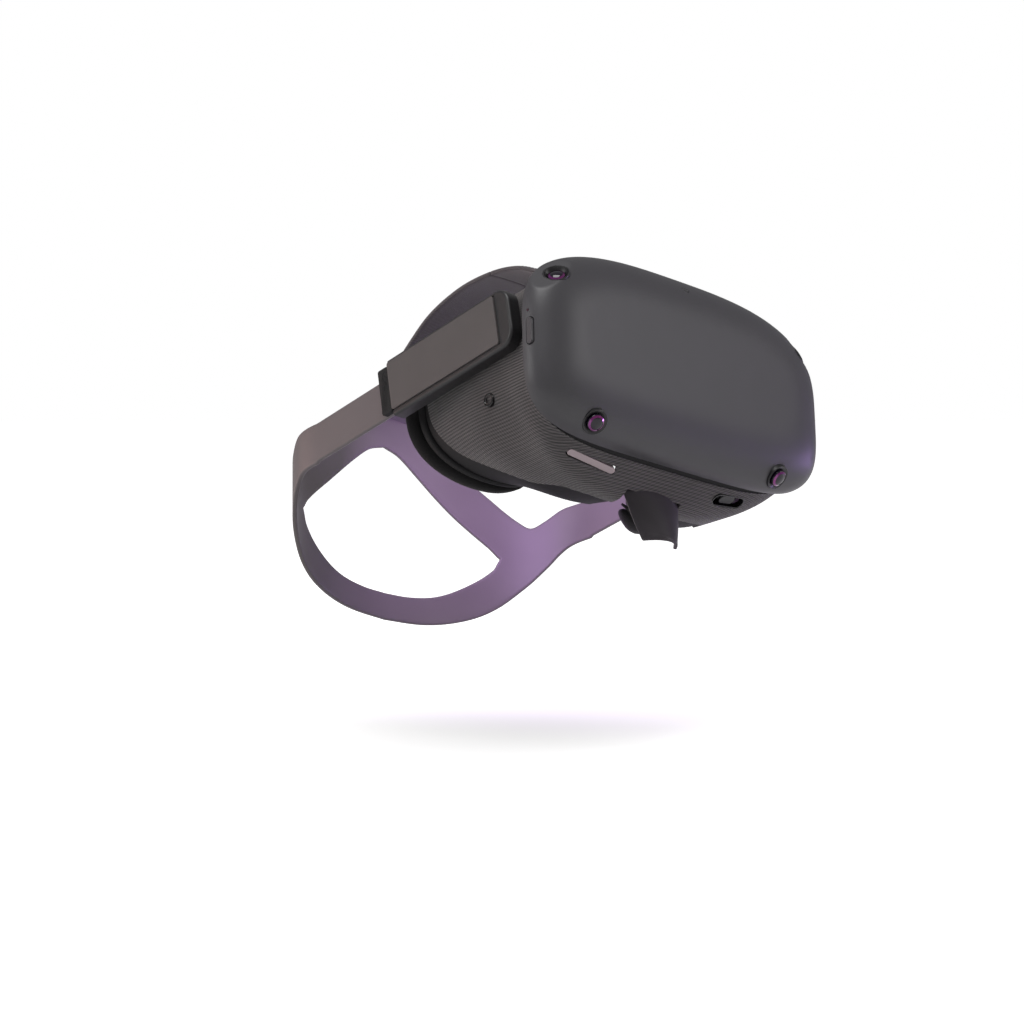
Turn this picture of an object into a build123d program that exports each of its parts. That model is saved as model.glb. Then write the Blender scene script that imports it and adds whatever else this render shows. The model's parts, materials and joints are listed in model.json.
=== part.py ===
from build123d import *

import math
import os

# A standalone virtual reality headset. The origin is the centre of the plane where the front cover
# meets the rear shell. -Y is the way the wearer looks, +X is the wearer's left, +Z is up.
os.makedirs("parts", exist_ok=True)

# ---- Driving dimensions, millimetres ------------------------------------------------------------
# front cover
cover_half_width = 96.5
cover_top = 48.8  # above the widest line
cover_bottom = 47.2  # below the widest line
cover_middle = -0.8  # height of the widest line
cover_depth = 16.6
cover_edge = 14.0  # rounding of the front edge
cover_wall = 2.0
top_roundness = 3.0  # exponents of the outline: 2 is an ellipse, more is squarer
bottom_roundness = 4.7
outline_points = 28

# seam, rear shell and frame
seam_gap = 1.2
shell_wall = 2.5
shell_narrow = 89.3  # half-width just behind the seam, where the arms lie against it
shell_narrow_y = 3.2
shell_cheek_y = 20.0
shell_cheek_half_width = 88.6
shell_cheek_bottom = 57.0
shell_rear_y = 92.0
shell_rear_half_width = 78.0
shell_middle = -6.0
frame_thickness = 3.0
fit_gap = 0.3  # between pieces that sit close and don't touch
seat_gap = 0.1  # between curved faces that seat on each other

# face side
face_radius = 102.5  # of the cylinder that the shell's rear edge follows
face_depth = 52.0  # how far behind the seam that cylinder starts, on the centre line
gasket_half_width = 79.3
gasket_top = 49.0
gasket_bottom = 55.0
gasket_roundness = 2.6
gasket_thickness = 4.3
gasket_band = 9.0
foam_thickness = 12.0
foam_band = 12.0
nose_radius = 18.0
nose_height = -44.0
nose_front = 15.0
flap_thickness = 2.0
flap_length = 34.0
flap_top = -50.0

# arms and head strap
pivot_y = 20.0
pivot_z = 7.6
arm_slope = 8.6  # degrees down towards the back
arm_inner_x = 89.9
arm_cover = 1.5
arm_outer_x = 96.7
arm_wall = 1.7
arm_front = 12.0  # ahead of the pivot
arm_rear = 73.5  # behind the pivot
arm_height = 30.0
arm_corner = 8.0
pin_radius = 5.0
running_gap = 0.05
bush_radius = 9.0
strap_thickness = 2.4
strap_height = 20.0
strap_drop = 2.5  # the strap's middle lies this far below the arm's
strap_side_x = 93.2
strap_front = 20.0  # where the strap ends inside the arm, behind the pivot
halo_start_y = 150.0
halo_depth = 60.0
halo_roundness = 2.3
top_strap_width = 30.0
tab_thickness = 1.8
tab_recess = 1.0
pad_length = 7.0

# optics
eye_distance = 65.0
eye_travel = 3.5
eye_height = -1.0
barrel_radius = 27.0
barrel_wall = 2.2
barrel_rear = 38.0
carrier_front = 8.2
carrier_thickness = 3.0
carrier_width = 54.0
carrier_height = 60.0
display_thickness = 3.0
display_width = 52.0
display_height = 56.0
lens_thickness = 4.0
rod_radius = 1.5
rod_y = 14.0
rod_top = 29.5
rod_bottom = -35.0
rod_end = 64.0
rack_module = 0.9
pinion_teeth = 10
pinion_z = -40.3
tooth_width = 1.15

# cameras, controls and sockets
camera_radius = 6.1
camera_length = 8.0
camera_lens_radius = 4.0
jack_radius = 3.2
jack_bore = 1.78
jack_y = 34.0
jack_z = -24.0
control_x = 46.0
control_y = 8.8
rocker_length = 30.0
rocker_width = 3.4
knob_length = 10.0
button_height = 13.0
button_width = 3.2
button_y = -4.4
button_z = -3.2
fan_radius = 17.0
fan_z = 22.0
post_radius = 3.0
screw_radius = 1.1

face_axis_y = face_depth + face_radius
slope = math.radians(arm_slope)
rear_of_frame = frame_thickness
pitch_radius = rack_module * pinion_teeth / 2
tooth_pitch = math.pi * rack_module
post_places = [(x, z) for x in (-45.0, 45.0) for z in (-38.5, 38.5)] + [(-82.0, -18.0), (82.0, -18.0)]


# ---- Shared shapes ------------------------------------------------------------------------------
def save(piece, name):
    """Labels a finished piece and writes it."""
    piece.label = name
    export_step(piece, f"parts/{name}.step")


def save_pair(piece, name):
    """Writes a piece made on the wearer's left, and its mirror image on the right."""
    save(mirror(piece, about=Plane.YZ), "right_" + name)
    save(piece, "left_" + name)


def facing_front(y):
    """The plane across the headset at depth y. Its normal points forward."""
    return Plane.XZ.offset(-y)


def outline(y, half_width, top, bottom, n_top, n_bottom, middle, inset=0.0):
    """A rounded outline across the headset, squarer or rounder above and below its widest line."""
    points = []
    for step in range(outline_points):
        turn = 2 * math.pi * step / outline_points
        n, height = (n_top, top) if step < outline_points // 2 else (n_bottom, bottom)
        x = math.copysign(abs(math.cos(turn)) ** (2 / n), math.cos(turn)) * (half_width - inset)
        z = math.copysign(abs(math.sin(turn)) ** (2 / n), math.sin(turn)) * (height - inset)
        points.append((x, z + middle))
    with BuildSketch(facing_front(y)) as shape:
        with BuildLine():
            Spline(*points, periodic=True)
        make_face()
    return shape.sketch


def cover_outline(y, inset):
    return outline(
        y, cover_half_width, cover_top, cover_bottom, top_roundness, bottom_roundness, cover_middle, inset
    )


def cover_block(inset):
    """The front cover's outer form as a solid, set in by inset."""
    with BuildPart() as block:
        extrude(cover_outline(0, inset), amount=cover_depth - inset)
        fillet(block.faces().sort_by(Axis.Y)[0].edges(), cover_edge - inset)
    return block.part


shell_sections = [
    (seam_gap, cover_half_width - 1.2, cover_top - 1.2, cover_bottom - 1.2, 3.0, 4.7, cover_middle),
    (shell_narrow_y, shell_narrow, 47.5, 47.0, 3.0, 4.2, -2.0),
    (shell_cheek_y, shell_cheek_half_width, 52.0, shell_cheek_bottom, 2.8, 2.6, shell_middle),
    (50.0, 86.5, 50.0, 56.0, 2.6, 2.6, shell_middle),
    (shell_rear_y, shell_rear_half_width, 46.0, 48.0, 2.6, 2.6, shell_middle),
]


def shell_block(inset):
    """The rear shell's form as a solid. An inset one runs past both ends, to cut a clean hollow."""
    past = 1.0 if inset else 0.0
    first, last = shell_sections[0], shell_sections[-1]
    sections = [outline(*section, inset=inset) for section in shell_sections]
    if past:
        sections.insert(0, outline(first[0] - past, *first[1:], inset=inset))
        sections.append(outline(last[0] + past, *last[1:], inset=inset))
    with BuildPart() as block:
        loft(sections, ruled=True)
    return block.part


def shell_underside(x, y):
    """Height of the rear shell's underside at a place."""
    for ahead, behind in zip(shell_sections, shell_sections[1:]):
        if ahead[0] <= y <= behind[0]:
            share = (y - ahead[0]) / (behind[0] - ahead[0])
            heights = [
                middle - bottom * (1 - (abs(x) / half_width) ** n) ** (1 / n)
                for _, half_width, _, bottom, _, n, middle in (ahead, behind)
            ]
            return heights[0] + share * (heights[1] - heights[0])
    raise ValueError("outside the shell")


def underside_plane(x, y):
    """A plane on the rear shell's underside, facing out of it, with its x along the headset's width."""
    step = 1.0
    origin = Vector(x, y, shell_underside(x, y))
    along = Vector(2 * step, 0, shell_underside(x + step, y) - shell_underside(x - step, y))
    back = Vector(0, 2 * step, shell_underside(x, y + step) - shell_underside(x, y - step))
    return Plane(origin=origin, x_dir=along, z_dir=back.cross(along))


def face_cylinder(radius):
    """The upright cylinder of the wearer's face, of a given radius."""
    with BuildPart() as block:
        with Locations((0, face_axis_y, -10)):
            Cylinder(radius, 200)
    return block.part


def nose_block(front):
    """The arch cut away for the nose, from front to behind the foam."""
    with BuildPart() as block:
        with BuildSketch(facing_front(front)):
            with Locations((0, nose_height)):
                Circle(nose_radius)
            with Locations((0, nose_height - 30)):
                Rectangle(2 * nose_radius, 60)
        extrude(amount=-120)
    return block.part


def arm_plane(x):
    """The plane of the left arm at x. Its x runs back along the arm and its y runs up."""
    return Plane(
        origin=(x, pivot_y, pivot_z),
        x_dir=(0, math.cos(slope), -math.sin(slope)),
        z_dir=(1, 0, 0),
    )


def arm_profile(x):
    with BuildSketch(arm_plane(x)) as shape:
        with Locations(((arm_rear - arm_front) / 2, 0)):
            RectangleRounded(arm_front + arm_rear, arm_height, arm_corner)
        with Locations((arm_rear - arm_corner, 0)):
            Rectangle(2 * arm_corner, arm_height)
    return shape.sketch


# ---- Front cover and its cameras ----------------------------------------------------------------
camera_planes = {}
for side_name, side in (("left", 1), ("right", -1)):
    camera_planes["upper_" + side_name] = Plane(
        origin=(side * 81.5, -8.0, 27.5), x_dir=(0, 1, 0.95), z_dir=(side * 0.6, -0.55, 0.58)
    )
    camera_planes["lower_" + side_name] = Plane(
        origin=(side * 62.0, -12.0, -43.0), x_dir=(1, 0, side * 0.22), z_dir=(side * 0.15, -0.72, -0.68)
    )

with BuildPart() as cover_posts:
    with BuildSketch(facing_front(0)):
        with Locations(*post_places):
            Circle(post_radius)
    extrude(amount=cover_depth)
    add(cover_block(cover_wall / 2), mode=Mode.INTERSECT)

with BuildPart() as front_cover:
    add(cover_block(0))
    add(cover_block(cover_wall), mode=Mode.SUBTRACT)
    add(cover_posts.part)
    with BuildSketch(facing_front(0)):
        with Locations(*post_places):
            Circle(screw_radius)
    extrude(amount=10, mode=Mode.SUBTRACT)
    for plane in camera_planes.values():
        with Locations(plane):
            Cylinder(camera_radius + fit_gap / 2, 24, mode=Mode.SUBTRACT)
    with BuildSketch(Plane.YZ.offset(-cover_half_width - 2)):
        with Locations((button_y, button_z)):
            SlotOverall(button_height + fit_gap, button_width + fit_gap, rotation=90)
        with Locations((button_y + 1, button_z + 10.5)):
            Circle(0.6)
    extrude(amount=8, mode=Mode.SUBTRACT)
    with BuildSketch(facing_front(0)):
        with Locations((0, cover_top + cover_middle - 9.5)):
            SlotOverall(3.4, 0.9)
    extrude(amount=cover_depth + 1, mode=Mode.SUBTRACT)
save(front_cover.part, "front_cover")

for name, plane in camera_planes.items():
    with BuildPart() as camera:
        with BuildSketch(plane.offset(-0.4)):
            Circle(camera_radius)
        extrude(amount=-camera_length)
        with BuildSketch(plane.offset(-0.4)):
            Circle(camera_radius - 0.4)
        with BuildSketch(plane.offset(-2.2)):
            Circle(camera_lens_radius)
        loft(mode=Mode.SUBTRACT)
        with BuildSketch(plane.offset(-2.2)):
            Circle(camera_lens_radius)
        extrude(amount=-2, mode=Mode.SUBTRACT)
    save(camera.part, f"{name}_camera")

    with BuildPart() as camera_lens:
        with BuildSketch(plane.offset(-2.2)):
            Circle(camera_lens_radius)
        extrude(amount=-2)
        with BuildSketch(plane.offset(-2.2)):
            Circle(camera_lens_radius - 0.6)
        extrude(amount=0.9, taper=40)
    save(camera_lens.part, f"{name}_camera_lens")

with BuildPart() as power_button:
    with BuildSketch(Plane.YZ.offset(-cover_half_width)):
        with Locations((button_y, button_z)):
            SlotOverall(button_height, button_width, rotation=90)
    extrude(amount=cover_wall + 1.6)
    with BuildSketch(Plane.YZ.offset(-cover_half_width + cover_wall + 1.2)):
        with Locations((button_y, button_z)):
            SlotOverall(button_height + 1.6, button_width + 1.6, rotation=90)
    extrude(amount=1.0)
save(power_button.part, "power_button")

switch_x = -cover_half_width + cover_wall + 2.8
with BuildPart() as power_switch:
    with BuildSketch(Plane.YZ.offset(switch_x)):
        with Locations((-3.2, button_z)):
            Rectangle(6.4, 8)
    extrude(amount=9)
save(power_switch.part, "power_switch")

with BuildPart() as status_led:
    with BuildSketch(Plane.YZ.offset(-cover_half_width + 0.3)):
        with Locations((button_y + 1, button_z + 10.5)):
            Circle(0.6)
    extrude(amount=5)
save(status_led.part, "status_led")

with BuildPart() as microphone:
    with BuildSketch(facing_front(-cover_depth + cover_wall + 1.7)):
        with Locations((0, cover_top + cover_middle - 9.5)):
            Rectangle(5, 3)
    extrude(amount=-1.4)
save(microphone.part, "microphone")

with BuildPart() as seam_trim:
    extrude(cover_outline(0, 1.5), amount=-seam_gap)
    extrude(cover_outline(0, 3.4), amount=-seam_gap, mode=Mode.SUBTRACT)
save(seam_trim.part, "seam_trim")

# ---- Inside the cover ---------------------------------------------------------------------------
with BuildPart() as mid_frame:
    extrude(
        outline(0, shell_narrow, 46.0, 44.5, 3.0, 4.2, -2.0, inset=shell_wall + fit_gap), amount=-rear_of_frame
    )
    with BuildSketch(facing_front(0)):
        with Locations(*post_places):
            Circle(screw_radius)
        with Locations((-32, 0), (32, 0)):
            Rectangle(18, 12)
    extrude(amount=-rear_of_frame, mode=Mode.SUBTRACT)
    for name in ("upper_left", "upper_right"):
        with Locations(camera_planes[name]):
            Cylinder(camera_radius + fit_gap, 24, mode=Mode.SUBTRACT)
    with BuildSketch(facing_front(rear_of_frame)):
        for x in (-rod_end - 2, rod_end + 2):
            for z in (rod_top, rod_bottom):
                with Locations((x, z)):
                    Rectangle(4, 5)
        with Locations((0, pinion_z)):
            Circle(rod_radius)
    extrude(amount=-(rod_y + 3.5 - rear_of_frame))
    with BuildSketch(Plane.YZ.offset(-rod_end - 5)):
        with Locations((rod_y, rod_top), (rod_y, rod_bottom)):
            Circle(rod_radius)
    extrude(amount=2 * rod_end + 10, mode=Mode.SUBTRACT)
save(mid_frame.part, "mid_frame")

with BuildPart() as guide_rods:
    with BuildSketch(Plane.YZ.offset(-rod_end - 4)):
        with Locations((rod_y, rod_top), (rod_y, rod_bottom)):
            Circle(rod_radius)
    extrude(amount=2 * rod_end + 8)
save(guide_rods.part, "guide_rods")

with BuildPart() as frame_screws:
    with BuildSketch(facing_front(rear_of_frame)):
        with Locations(*post_places):
            Circle(screw_radius)
    extrude(amount=rear_of_frame + 8)
    with BuildSketch(facing_front(rear_of_frame)):
        with Locations(*post_places):
            Circle(2 * screw_radius)
    extrude(amount=-1.4)
    with BuildSketch(facing_front(rear_of_frame + 1.4)):
        with Locations(*post_places):
            RegularPolygon(0.9, 6)
    extrude(amount=0.8, mode=Mode.SUBTRACT)
save(frame_screws.part, "frame_screws")

with BuildPart() as battery:
    with BuildSketch(facing_front(0)):
        with Locations((-45, -3)):
            RectangleRounded(48, 56, 3)
    extrude(amount=9.5)
save(battery.part, "battery")

with BuildPart() as main_board:
    with BuildSketch(facing_front(0)):
        with Locations((44, -2)):
            RectangleRounded(48, 62, 2)
    extrude(amount=1.2)
    with BuildSketch(facing_front(-1.2)):
        with Locations((44, -26), (30, -26), (58, -26)):
            Rectangle(9, 7)
    extrude(amount=1.1)
save(main_board.part, "main_board")

with BuildPart() as heat_sink:
    with BuildSketch(facing_front(-1.2)):
        with Locations((44, 6)):
            Rectangle(42, 38)
    extrude(amount=2.0)
    with BuildSketch(facing_front(-3.2)):
        with GridLocations(4.0, 0, 11, 1):
            with Locations((44, 6)):
                Rectangle(1.2, 38)
    extrude(amount=6.0)
save(heat_sink.part, "heat_sink")

with BuildPart() as fan_housing:
    with BuildSketch(facing_front(0)):
        with Locations((0, fan_z)):
            Circle(fan_radius)
    extrude(amount=9)
    with BuildSketch(facing_front(-1.2)):
        with Locations((0, fan_z)):
            Circle(fan_radius - 1.5)
    extrude(amount=8, mode=Mode.SUBTRACT)
    with BuildSketch(facing_front(-1.2)):
        with Locations((0, fan_z)):
            Circle(1.2)
    extrude(amount=7)
save(fan_housing.part, "fan_housing")

with BuildPart() as fan_rotor:
    with BuildSketch(facing_front(-1.8)):
        with Locations((0, fan_z)):
            Circle(5.5)
            with PolarLocations(9.5, 9):
                Rectangle(10, 1.1, rotation=25)
    extrude(amount=6)
    with BuildSketch(facing_front(-1.8)):
        with Locations((0, fan_z)):
            Circle(1.2 + running_gap)
    extrude(amount=6, mode=Mode.SUBTRACT)
save(fan_rotor.part, "fan_rotor")

# ---- Rear shell and face side -------------------------------------------------------------------
rocker_plane = underside_plane(-control_x, control_y)
knob_plane = underside_plane(control_x, control_y)
anchor_y = 43.0

with BuildPart() as fabric_shell:
    add(shell_block(0))
    add(shell_block(shell_wall), mode=Mode.SUBTRACT)
    add(face_cylinder(face_radius), mode=Mode.SUBTRACT)
    add(nose_block(nose_front), mode=Mode.SUBTRACT)
    with BuildSketch(Plane.YZ.offset(-cover_half_width)):
        with Locations((pivot_y, pivot_z)):
            Circle(bush_radius)
        with Locations((jack_y, jack_z)):
            Circle(jack_radius)
    extrude(amount=2 * cover_half_width, mode=Mode.SUBTRACT)
    with BuildSketch(rocker_plane.offset(4)):
        SlotOverall(rocker_length + 1.2, rocker_width + 1.0)
    extrude(amount=-9, mode=Mode.SUBTRACT)
    with BuildSketch(knob_plane.offset(4)):
        SlotOverall(knob_length + 2 * eye_travel + 3, 5.4)
    extrude(amount=-9, mode=Mode.SUBTRACT)
    with BuildSketch(Plane.XY.offset(30)):
        with Locations((0, anchor_y)):
            RectangleRounded(top_strap_width + 4, 6, 2.5)
    extrude(amount=30, mode=Mode.SUBTRACT)
    with BuildSketch(Plane.YZ.offset(60)):
        with Locations((jack_y + 14, jack_z + 2)):
            RectangleRounded(9.6, 3.9, 1.9)
    extrude(amount=40, mode=Mode.SUBTRACT)
save(fabric_shell.part, "fabric_shell")

with BuildPart() as gasket_frame:
    extrude(
        outline(
            face_depth - 5, gasket_half_width, gasket_top, gasket_bottom, 2.6, gasket_roundness, shell_middle
        ),
        amount=-70,
    )
    extrude(
        outline(
            face_depth - 6, gasket_half_width, gasket_top, gasket_bottom, 2.6, gasket_roundness, shell_middle,
            inset=gasket_band,
        ),
        amount=-72,
        mode=Mode.SUBTRACT,
    )
    add(face_cylinder(face_radius - seat_gap), mode=Mode.INTERSECT)
    add(face_cylinder(face_radius - gasket_thickness), mode=Mode.SUBTRACT)
    add(nose_block(nose_front), mode=Mode.SUBTRACT)
save(gasket_frame.part, "gasket_frame")

with BuildPart() as face_foam:
    extrude(
        outline(
            face_depth - 5, gasket_half_width, gasket_top, gasket_bottom, 2.6, gasket_roundness, shell_middle,
            inset=-1.5,
        ),
        amount=-80,
    )
    extrude(
        outline(
            face_depth - 6, gasket_half_width, gasket_top, gasket_bottom, 2.6, gasket_roundness, shell_middle,
            inset=foam_band - 1.5,
        ),
        amount=-82,
        mode=Mode.SUBTRACT,
    )
    add(face_cylinder(face_radius - gasket_thickness - seat_gap), mode=Mode.INTERSECT)
    add(face_cylinder(face_radius - gasket_thickness - foam_thickness), mode=Mode.SUBTRACT)
    add(nose_block(nose_front), mode=Mode.SUBTRACT)
    split(bisect_by=Plane.XZ.offset(-face_axis_y + 20), keep=Keep.TOP)
save(face_foam.part, "face_foam")

flap_plane = Plane(origin=(0, nose_front + fit_gap + 2.0, flap_top), x_dir=(1, 0, 0), z_dir=(0, -0.22, -1))
with BuildPart() as nose_flap:
    with BuildSketch(flap_plane):
        with BuildLine():
            wing = ThreePointArc((-15.5, -9.0), (0, 0), (15.5, -9.0))
            offset(wing, amount=flap_thickness, side=Side.RIGHT)
        make_face()
    extrude(amount=flap_length)
    with BuildSketch(facing_front(-20)):
        with BuildLine():
            Polyline((-16, flap_top + 2), (16, flap_top + 2), (16, flap_top - 8))
            Spline((16, flap_top - 8), (10, flap_top - 26), (0, flap_top - flap_length + 1), (-10, flap_top - 26),
                   (-16, flap_top - 8))
            Line((-16, flap_top - 8), (-16, flap_top + 2))
        make_face()
    extrude(amount=-80, mode=Mode.INTERSECT)
save(nose_flap.part, "nose_flap")

shroud_y = 29.1
with BuildPart() as eye_shroud:
    add(shell_block(shell_wall + fit_gap))
    split(bisect_by=Plane.XZ.offset(-shroud_y), keep=Keep.BOTTOM)
    split(bisect_by=Plane.XZ.offset(-shroud_y - 1.6), keep=Keep.TOP)
    with BuildSketch(facing_front(shroud_y - 1)):
        with Locations((-eye_distance / 2, eye_height), (eye_distance / 2, eye_height)):
            SlotCenterToCenter(2 * eye_travel, 2 * barrel_radius + 1.0)
    extrude(amount=-5, mode=Mode.SUBTRACT)
    add(nose_block(shroud_y - 2), mode=Mode.SUBTRACT)
save(eye_shroud.part, "eye_shroud")

with BuildPart() as proximity_sensor:
    with BuildSketch(facing_front(shroud_y + 1.6)):
        with Locations((0, 26)):
            RectangleRounded(7, 10, 1.5)
    extrude(amount=-3)
save(proximity_sensor.part, "proximity_sensor")

with BuildPart() as strap_anchor:
    with BuildSketch(facing_front(anchor_y - 3)):
        with Locations((0, 36)):
            Rectangle(top_strap_width + 10, 3)
        for x in (-1, 1):
            with Locations((x * (top_strap_width / 2 + 3.7), 38)):
                Rectangle(2.5, 6)
    extrude(amount=-6)
save(strap_anchor.part, "strap_anchor")

# ---- Sockets, speakers and volume rocker --------------------------------------------------------
with BuildPart() as audio_jack:
    with BuildSketch(Plane.YZ.offset(73)):
        with Locations((jack_y, jack_z)):
            Circle(jack_radius)
    extrude(amount=14)
    with BuildSketch(Plane.YZ.offset(74.5)):
        with Locations((jack_y, jack_z)):
            Circle(jack_bore)
    extrude(amount=14, mode=Mode.SUBTRACT)
save_pair(audio_jack.part, "audio_jack")

with BuildPart() as usb_port:
    with BuildSketch(Plane.YZ.offset(76)):
        with Locations((jack_y + 14, jack_z + 2)):
            RectangleRounded(9.6, 3.9, 1.9)
    extrude(amount=9)
    with BuildSketch(Plane.YZ.offset(78)):
        with Locations((jack_y + 14, jack_z + 2)):
            RectangleRounded(8.4, 2.7, 1.3)
            Rectangle(6.6, 0.7, mode=Mode.SUBTRACT)
    extrude(amount=8, mode=Mode.SUBTRACT)
save(usb_port.part, "usb_port")

with BuildPart() as speaker:
    with BuildSketch(Plane.YZ.offset(77)):
        with Locations((46, 4)):
            RectangleRounded(18, 9, 3)
    extrude(amount=4.0)
save_pair(speaker.part, "speaker")

rocker_axle = 6.0  # depth of the rocker's axle below the shell's surface
with BuildPart() as volume_rocker:
    with BuildSketch(rocker_plane.offset(0.7)):
        SlotOverall(rocker_length, rocker_width)
    extrude(amount=-3.2)
    with BuildSketch(rocker_plane.offset(-2.5)):
        Rectangle(4, rocker_width - 0.4)
    extrude(amount=-5.5)
    with Locations(rocker_plane):
        with Locations(Location((0, 0, -rocker_axle), (90, 0, 0))):
            Cylinder(0.8 + running_gap, 10, mode=Mode.SUBTRACT)
save(volume_rocker.part, "volume_rocker")

with BuildPart() as volume_bracket:
    with BuildSketch(rocker_plane.offset(-9.5)):
        Rectangle(7, rocker_width + 4.4)
    extrude(amount=-1.2)
    with BuildSketch(rocker_plane.offset(-9.5)):
        for side in (-1, 1):
            with Locations((0, side * (rocker_width / 2 + 1.3))):
                Rectangle(7, 1.6)
    extrude(amount=6.2)
    with Locations(rocker_plane):
        with Locations(Location((0, 0, -rocker_axle), (90, 0, 0))):
            Cylinder(0.8, rocker_width + 3)
save(volume_bracket.part, "volume_bracket")

# ---- Eyepieces ----------------------------------------------------------------------------------
eye_x = eye_distance / 2
rack_y = carrier_front


def rack_profile(flip):
    """Rack teeth on the pitch line, pointing at the pinion, with their bar."""
    reach, root = 0.7, 0.95
    lean = math.tan(math.radians(20))
    line = pinion_z + flip * pitch_radius
    with BuildSketch(facing_front(rack_y)) as shape:
        with BuildLine():
            points = [(-8.48, line + flip * (root + 2)), (-8.48, line + flip * root)]
            for step in range(-3, 3):
                middle = (step + 0.5) * tooth_pitch
                wide = tooth_width / 2 + root * lean
                narrow = tooth_width / 2 - reach * lean
                points += [
                    (middle - wide, line + flip * root), (middle - narrow, line - flip * reach),
                    (middle + narrow, line - flip * reach), (middle + wide, line + flip * root),
                ]
            points += [(8.48, line + flip * root), (8.48, line + flip * (root + 2))]
            Polyline(*points, close=True)
        make_face()
    return shape.sketch


def carriage(side):
    """Lens barrel with its display frame, rod bosses and rack. side is 1 for the wearer's left."""
    middle = side * eye_x
    link_foot = pinion_z + side * (pitch_radius + 2.95)
    with BuildPart() as body:
        with BuildSketch(facing_front(carrier_front)):
            with Locations((middle, eye_height)):
                Rectangle(carrier_width, carrier_height)
                Rectangle(carrier_width - 10, carrier_height - 12, mode=Mode.SUBTRACT)
        extrude(amount=-carrier_thickness)
        with BuildSketch(facing_front(carrier_front)):
            with Locations((middle, eye_height)):
                Circle(barrel_radius)
        extrude(amount=-(barrel_rear - carrier_front))
        with BuildSketch(facing_front(rod_y - 3)):
            with Locations((middle, rod_top - 3), (middle, rod_bottom + 3)):
                Rectangle(18, 12)
        extrude(amount=-6.5)
        with BuildSketch(facing_front(carrier_front)):
            with Locations((middle, eye_height)):
                Circle(barrel_radius - barrel_wall)
        extrude(amount=-(barrel_rear - carrier_front), mode=Mode.SUBTRACT)
        with BuildSketch(Plane.YZ.offset(middle - 20)):
            with Locations((rod_y, rod_top), (rod_y, rod_bottom)):
                Circle(rod_radius + running_gap)
        extrude(amount=40, mode=Mode.SUBTRACT)
        extrude(rack_profile(side), amount=-carrier_thickness)
        with BuildSketch(facing_front(rack_y)):
            top = eye_height - carrier_height / 2 + 1
            with Locations((side * 14.5, link_foot - side)):
                Rectangle(14, 2)
            with Locations((side * 19, (top + link_foot) / 2)):
                Rectangle(5, abs(top - link_foot))
        extrude(amount=-carrier_thickness)
    return body.part


for side_name, side in (("left", 1), ("right", -1)):
    save(carriage(side), f"{side_name}_lens_barrel")

with BuildPart() as lens:
    with BuildSketch(facing_front(barrel_rear - lens_thickness - 2)):
        with Locations((eye_x, eye_height)):
            Circle(barrel_radius - barrel_wall)
    extrude(amount=-lens_thickness)
    with BuildSketch(facing_front(barrel_rear - 2)):
        with Locations((eye_x, eye_height)):
            Circle(barrel_radius - barrel_wall - 0.8)
    extrude(amount=-1.8, taper=70)
save_pair(lens.part, "lens")

with BuildPart() as display:
    with BuildSketch(facing_front(carrier_front - display_thickness)):
        with Locations((eye_x, eye_height)):
            Rectangle(display_width, display_height)
    extrude(amount=-display_thickness)
save_pair(display.part, "display")

with BuildSketch() as pinion_tooth:
    with BuildLine():
        Polyline(
            (pitch_radius - 1.2, -0.74), (pitch_radius, -tooth_width / 2), (pitch_radius + 0.7, -0.28),
            (pitch_radius + 0.7, 0.28), (pitch_radius, tooth_width / 2), (pitch_radius - 1.2, 0.74),
            close=True,
        )
    make_face()

with BuildPart() as ipd_pinion:
    with BuildSketch(facing_front(rack_y)):
        with Locations((0, pinion_z)):
            Circle(pitch_radius - 0.95)
        with Locations((0, pinion_z)):
            with PolarLocations(0, pinion_teeth, start_angle=90):
                add(pinion_tooth.sketch)
        with Locations((0, pinion_z)):
            Circle(rod_radius + running_gap, mode=Mode.SUBTRACT)
    extrude(amount=-carrier_thickness)
save(ipd_pinion.part, "ipd_pinion")

with BuildPart() as ipd_knob:
    with BuildSketch(knob_plane.offset(-0.2)):
        SlotOverall(knob_length, 4.2)
    extrude(amount=-3.4)
    with BuildSketch(facing_front(carrier_front + 0.3)):
        with Locations((control_x, -39.7)):
            Rectangle(6, 17.4)
    extrude(amount=-2.4)
save(ipd_knob.part, "ipd_knob")

# ---- Arms ---------------------------------------------------------------------------------------
channel_top = strap_height / 2 - strap_drop + 0.6
channel_bottom = strap_height / 2 + strap_drop + 0.6

with BuildPart() as arm_shell:
    extrude(arm_profile(arm_inner_x + arm_cover), amount=arm_outer_x - arm_inner_x - arm_cover)
    fillet(arm_shell.faces().sort_by(Axis.X)[-1].edges().filter_by(GeomType.CIRCLE), 1.5)
    with BuildSketch(arm_plane(arm_inner_x + arm_cover)):
        with Locations(((arm_rear + 1 - 8) / 2, (channel_top - channel_bottom) / 2)):
            Rectangle(arm_rear + 1 + 8, channel_top + channel_bottom)
    extrude(amount=arm_outer_x - arm_inner_x - arm_cover - arm_wall, mode=Mode.SUBTRACT)
    with BuildSketch(arm_plane(arm_outer_x - tab_recess)):
        with Locations(((arm_rear - 3) / 2, 0.5)):
            Rectangle(arm_rear + 3 + 0.6, arm_height - 4.4)
    extrude(amount=tab_recess, mode=Mode.SUBTRACT)
save_pair(arm_shell.part, "arm_shell")

with BuildPart() as arm_inner:
    extrude(arm_profile(arm_inner_x), amount=arm_cover)
    with BuildSketch(arm_plane(arm_inner_x)):
        Circle(pin_radius)
    extrude(amount=arm_cover, mode=Mode.SUBTRACT)
save_pair(arm_inner.part, "arm_cover")

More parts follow.
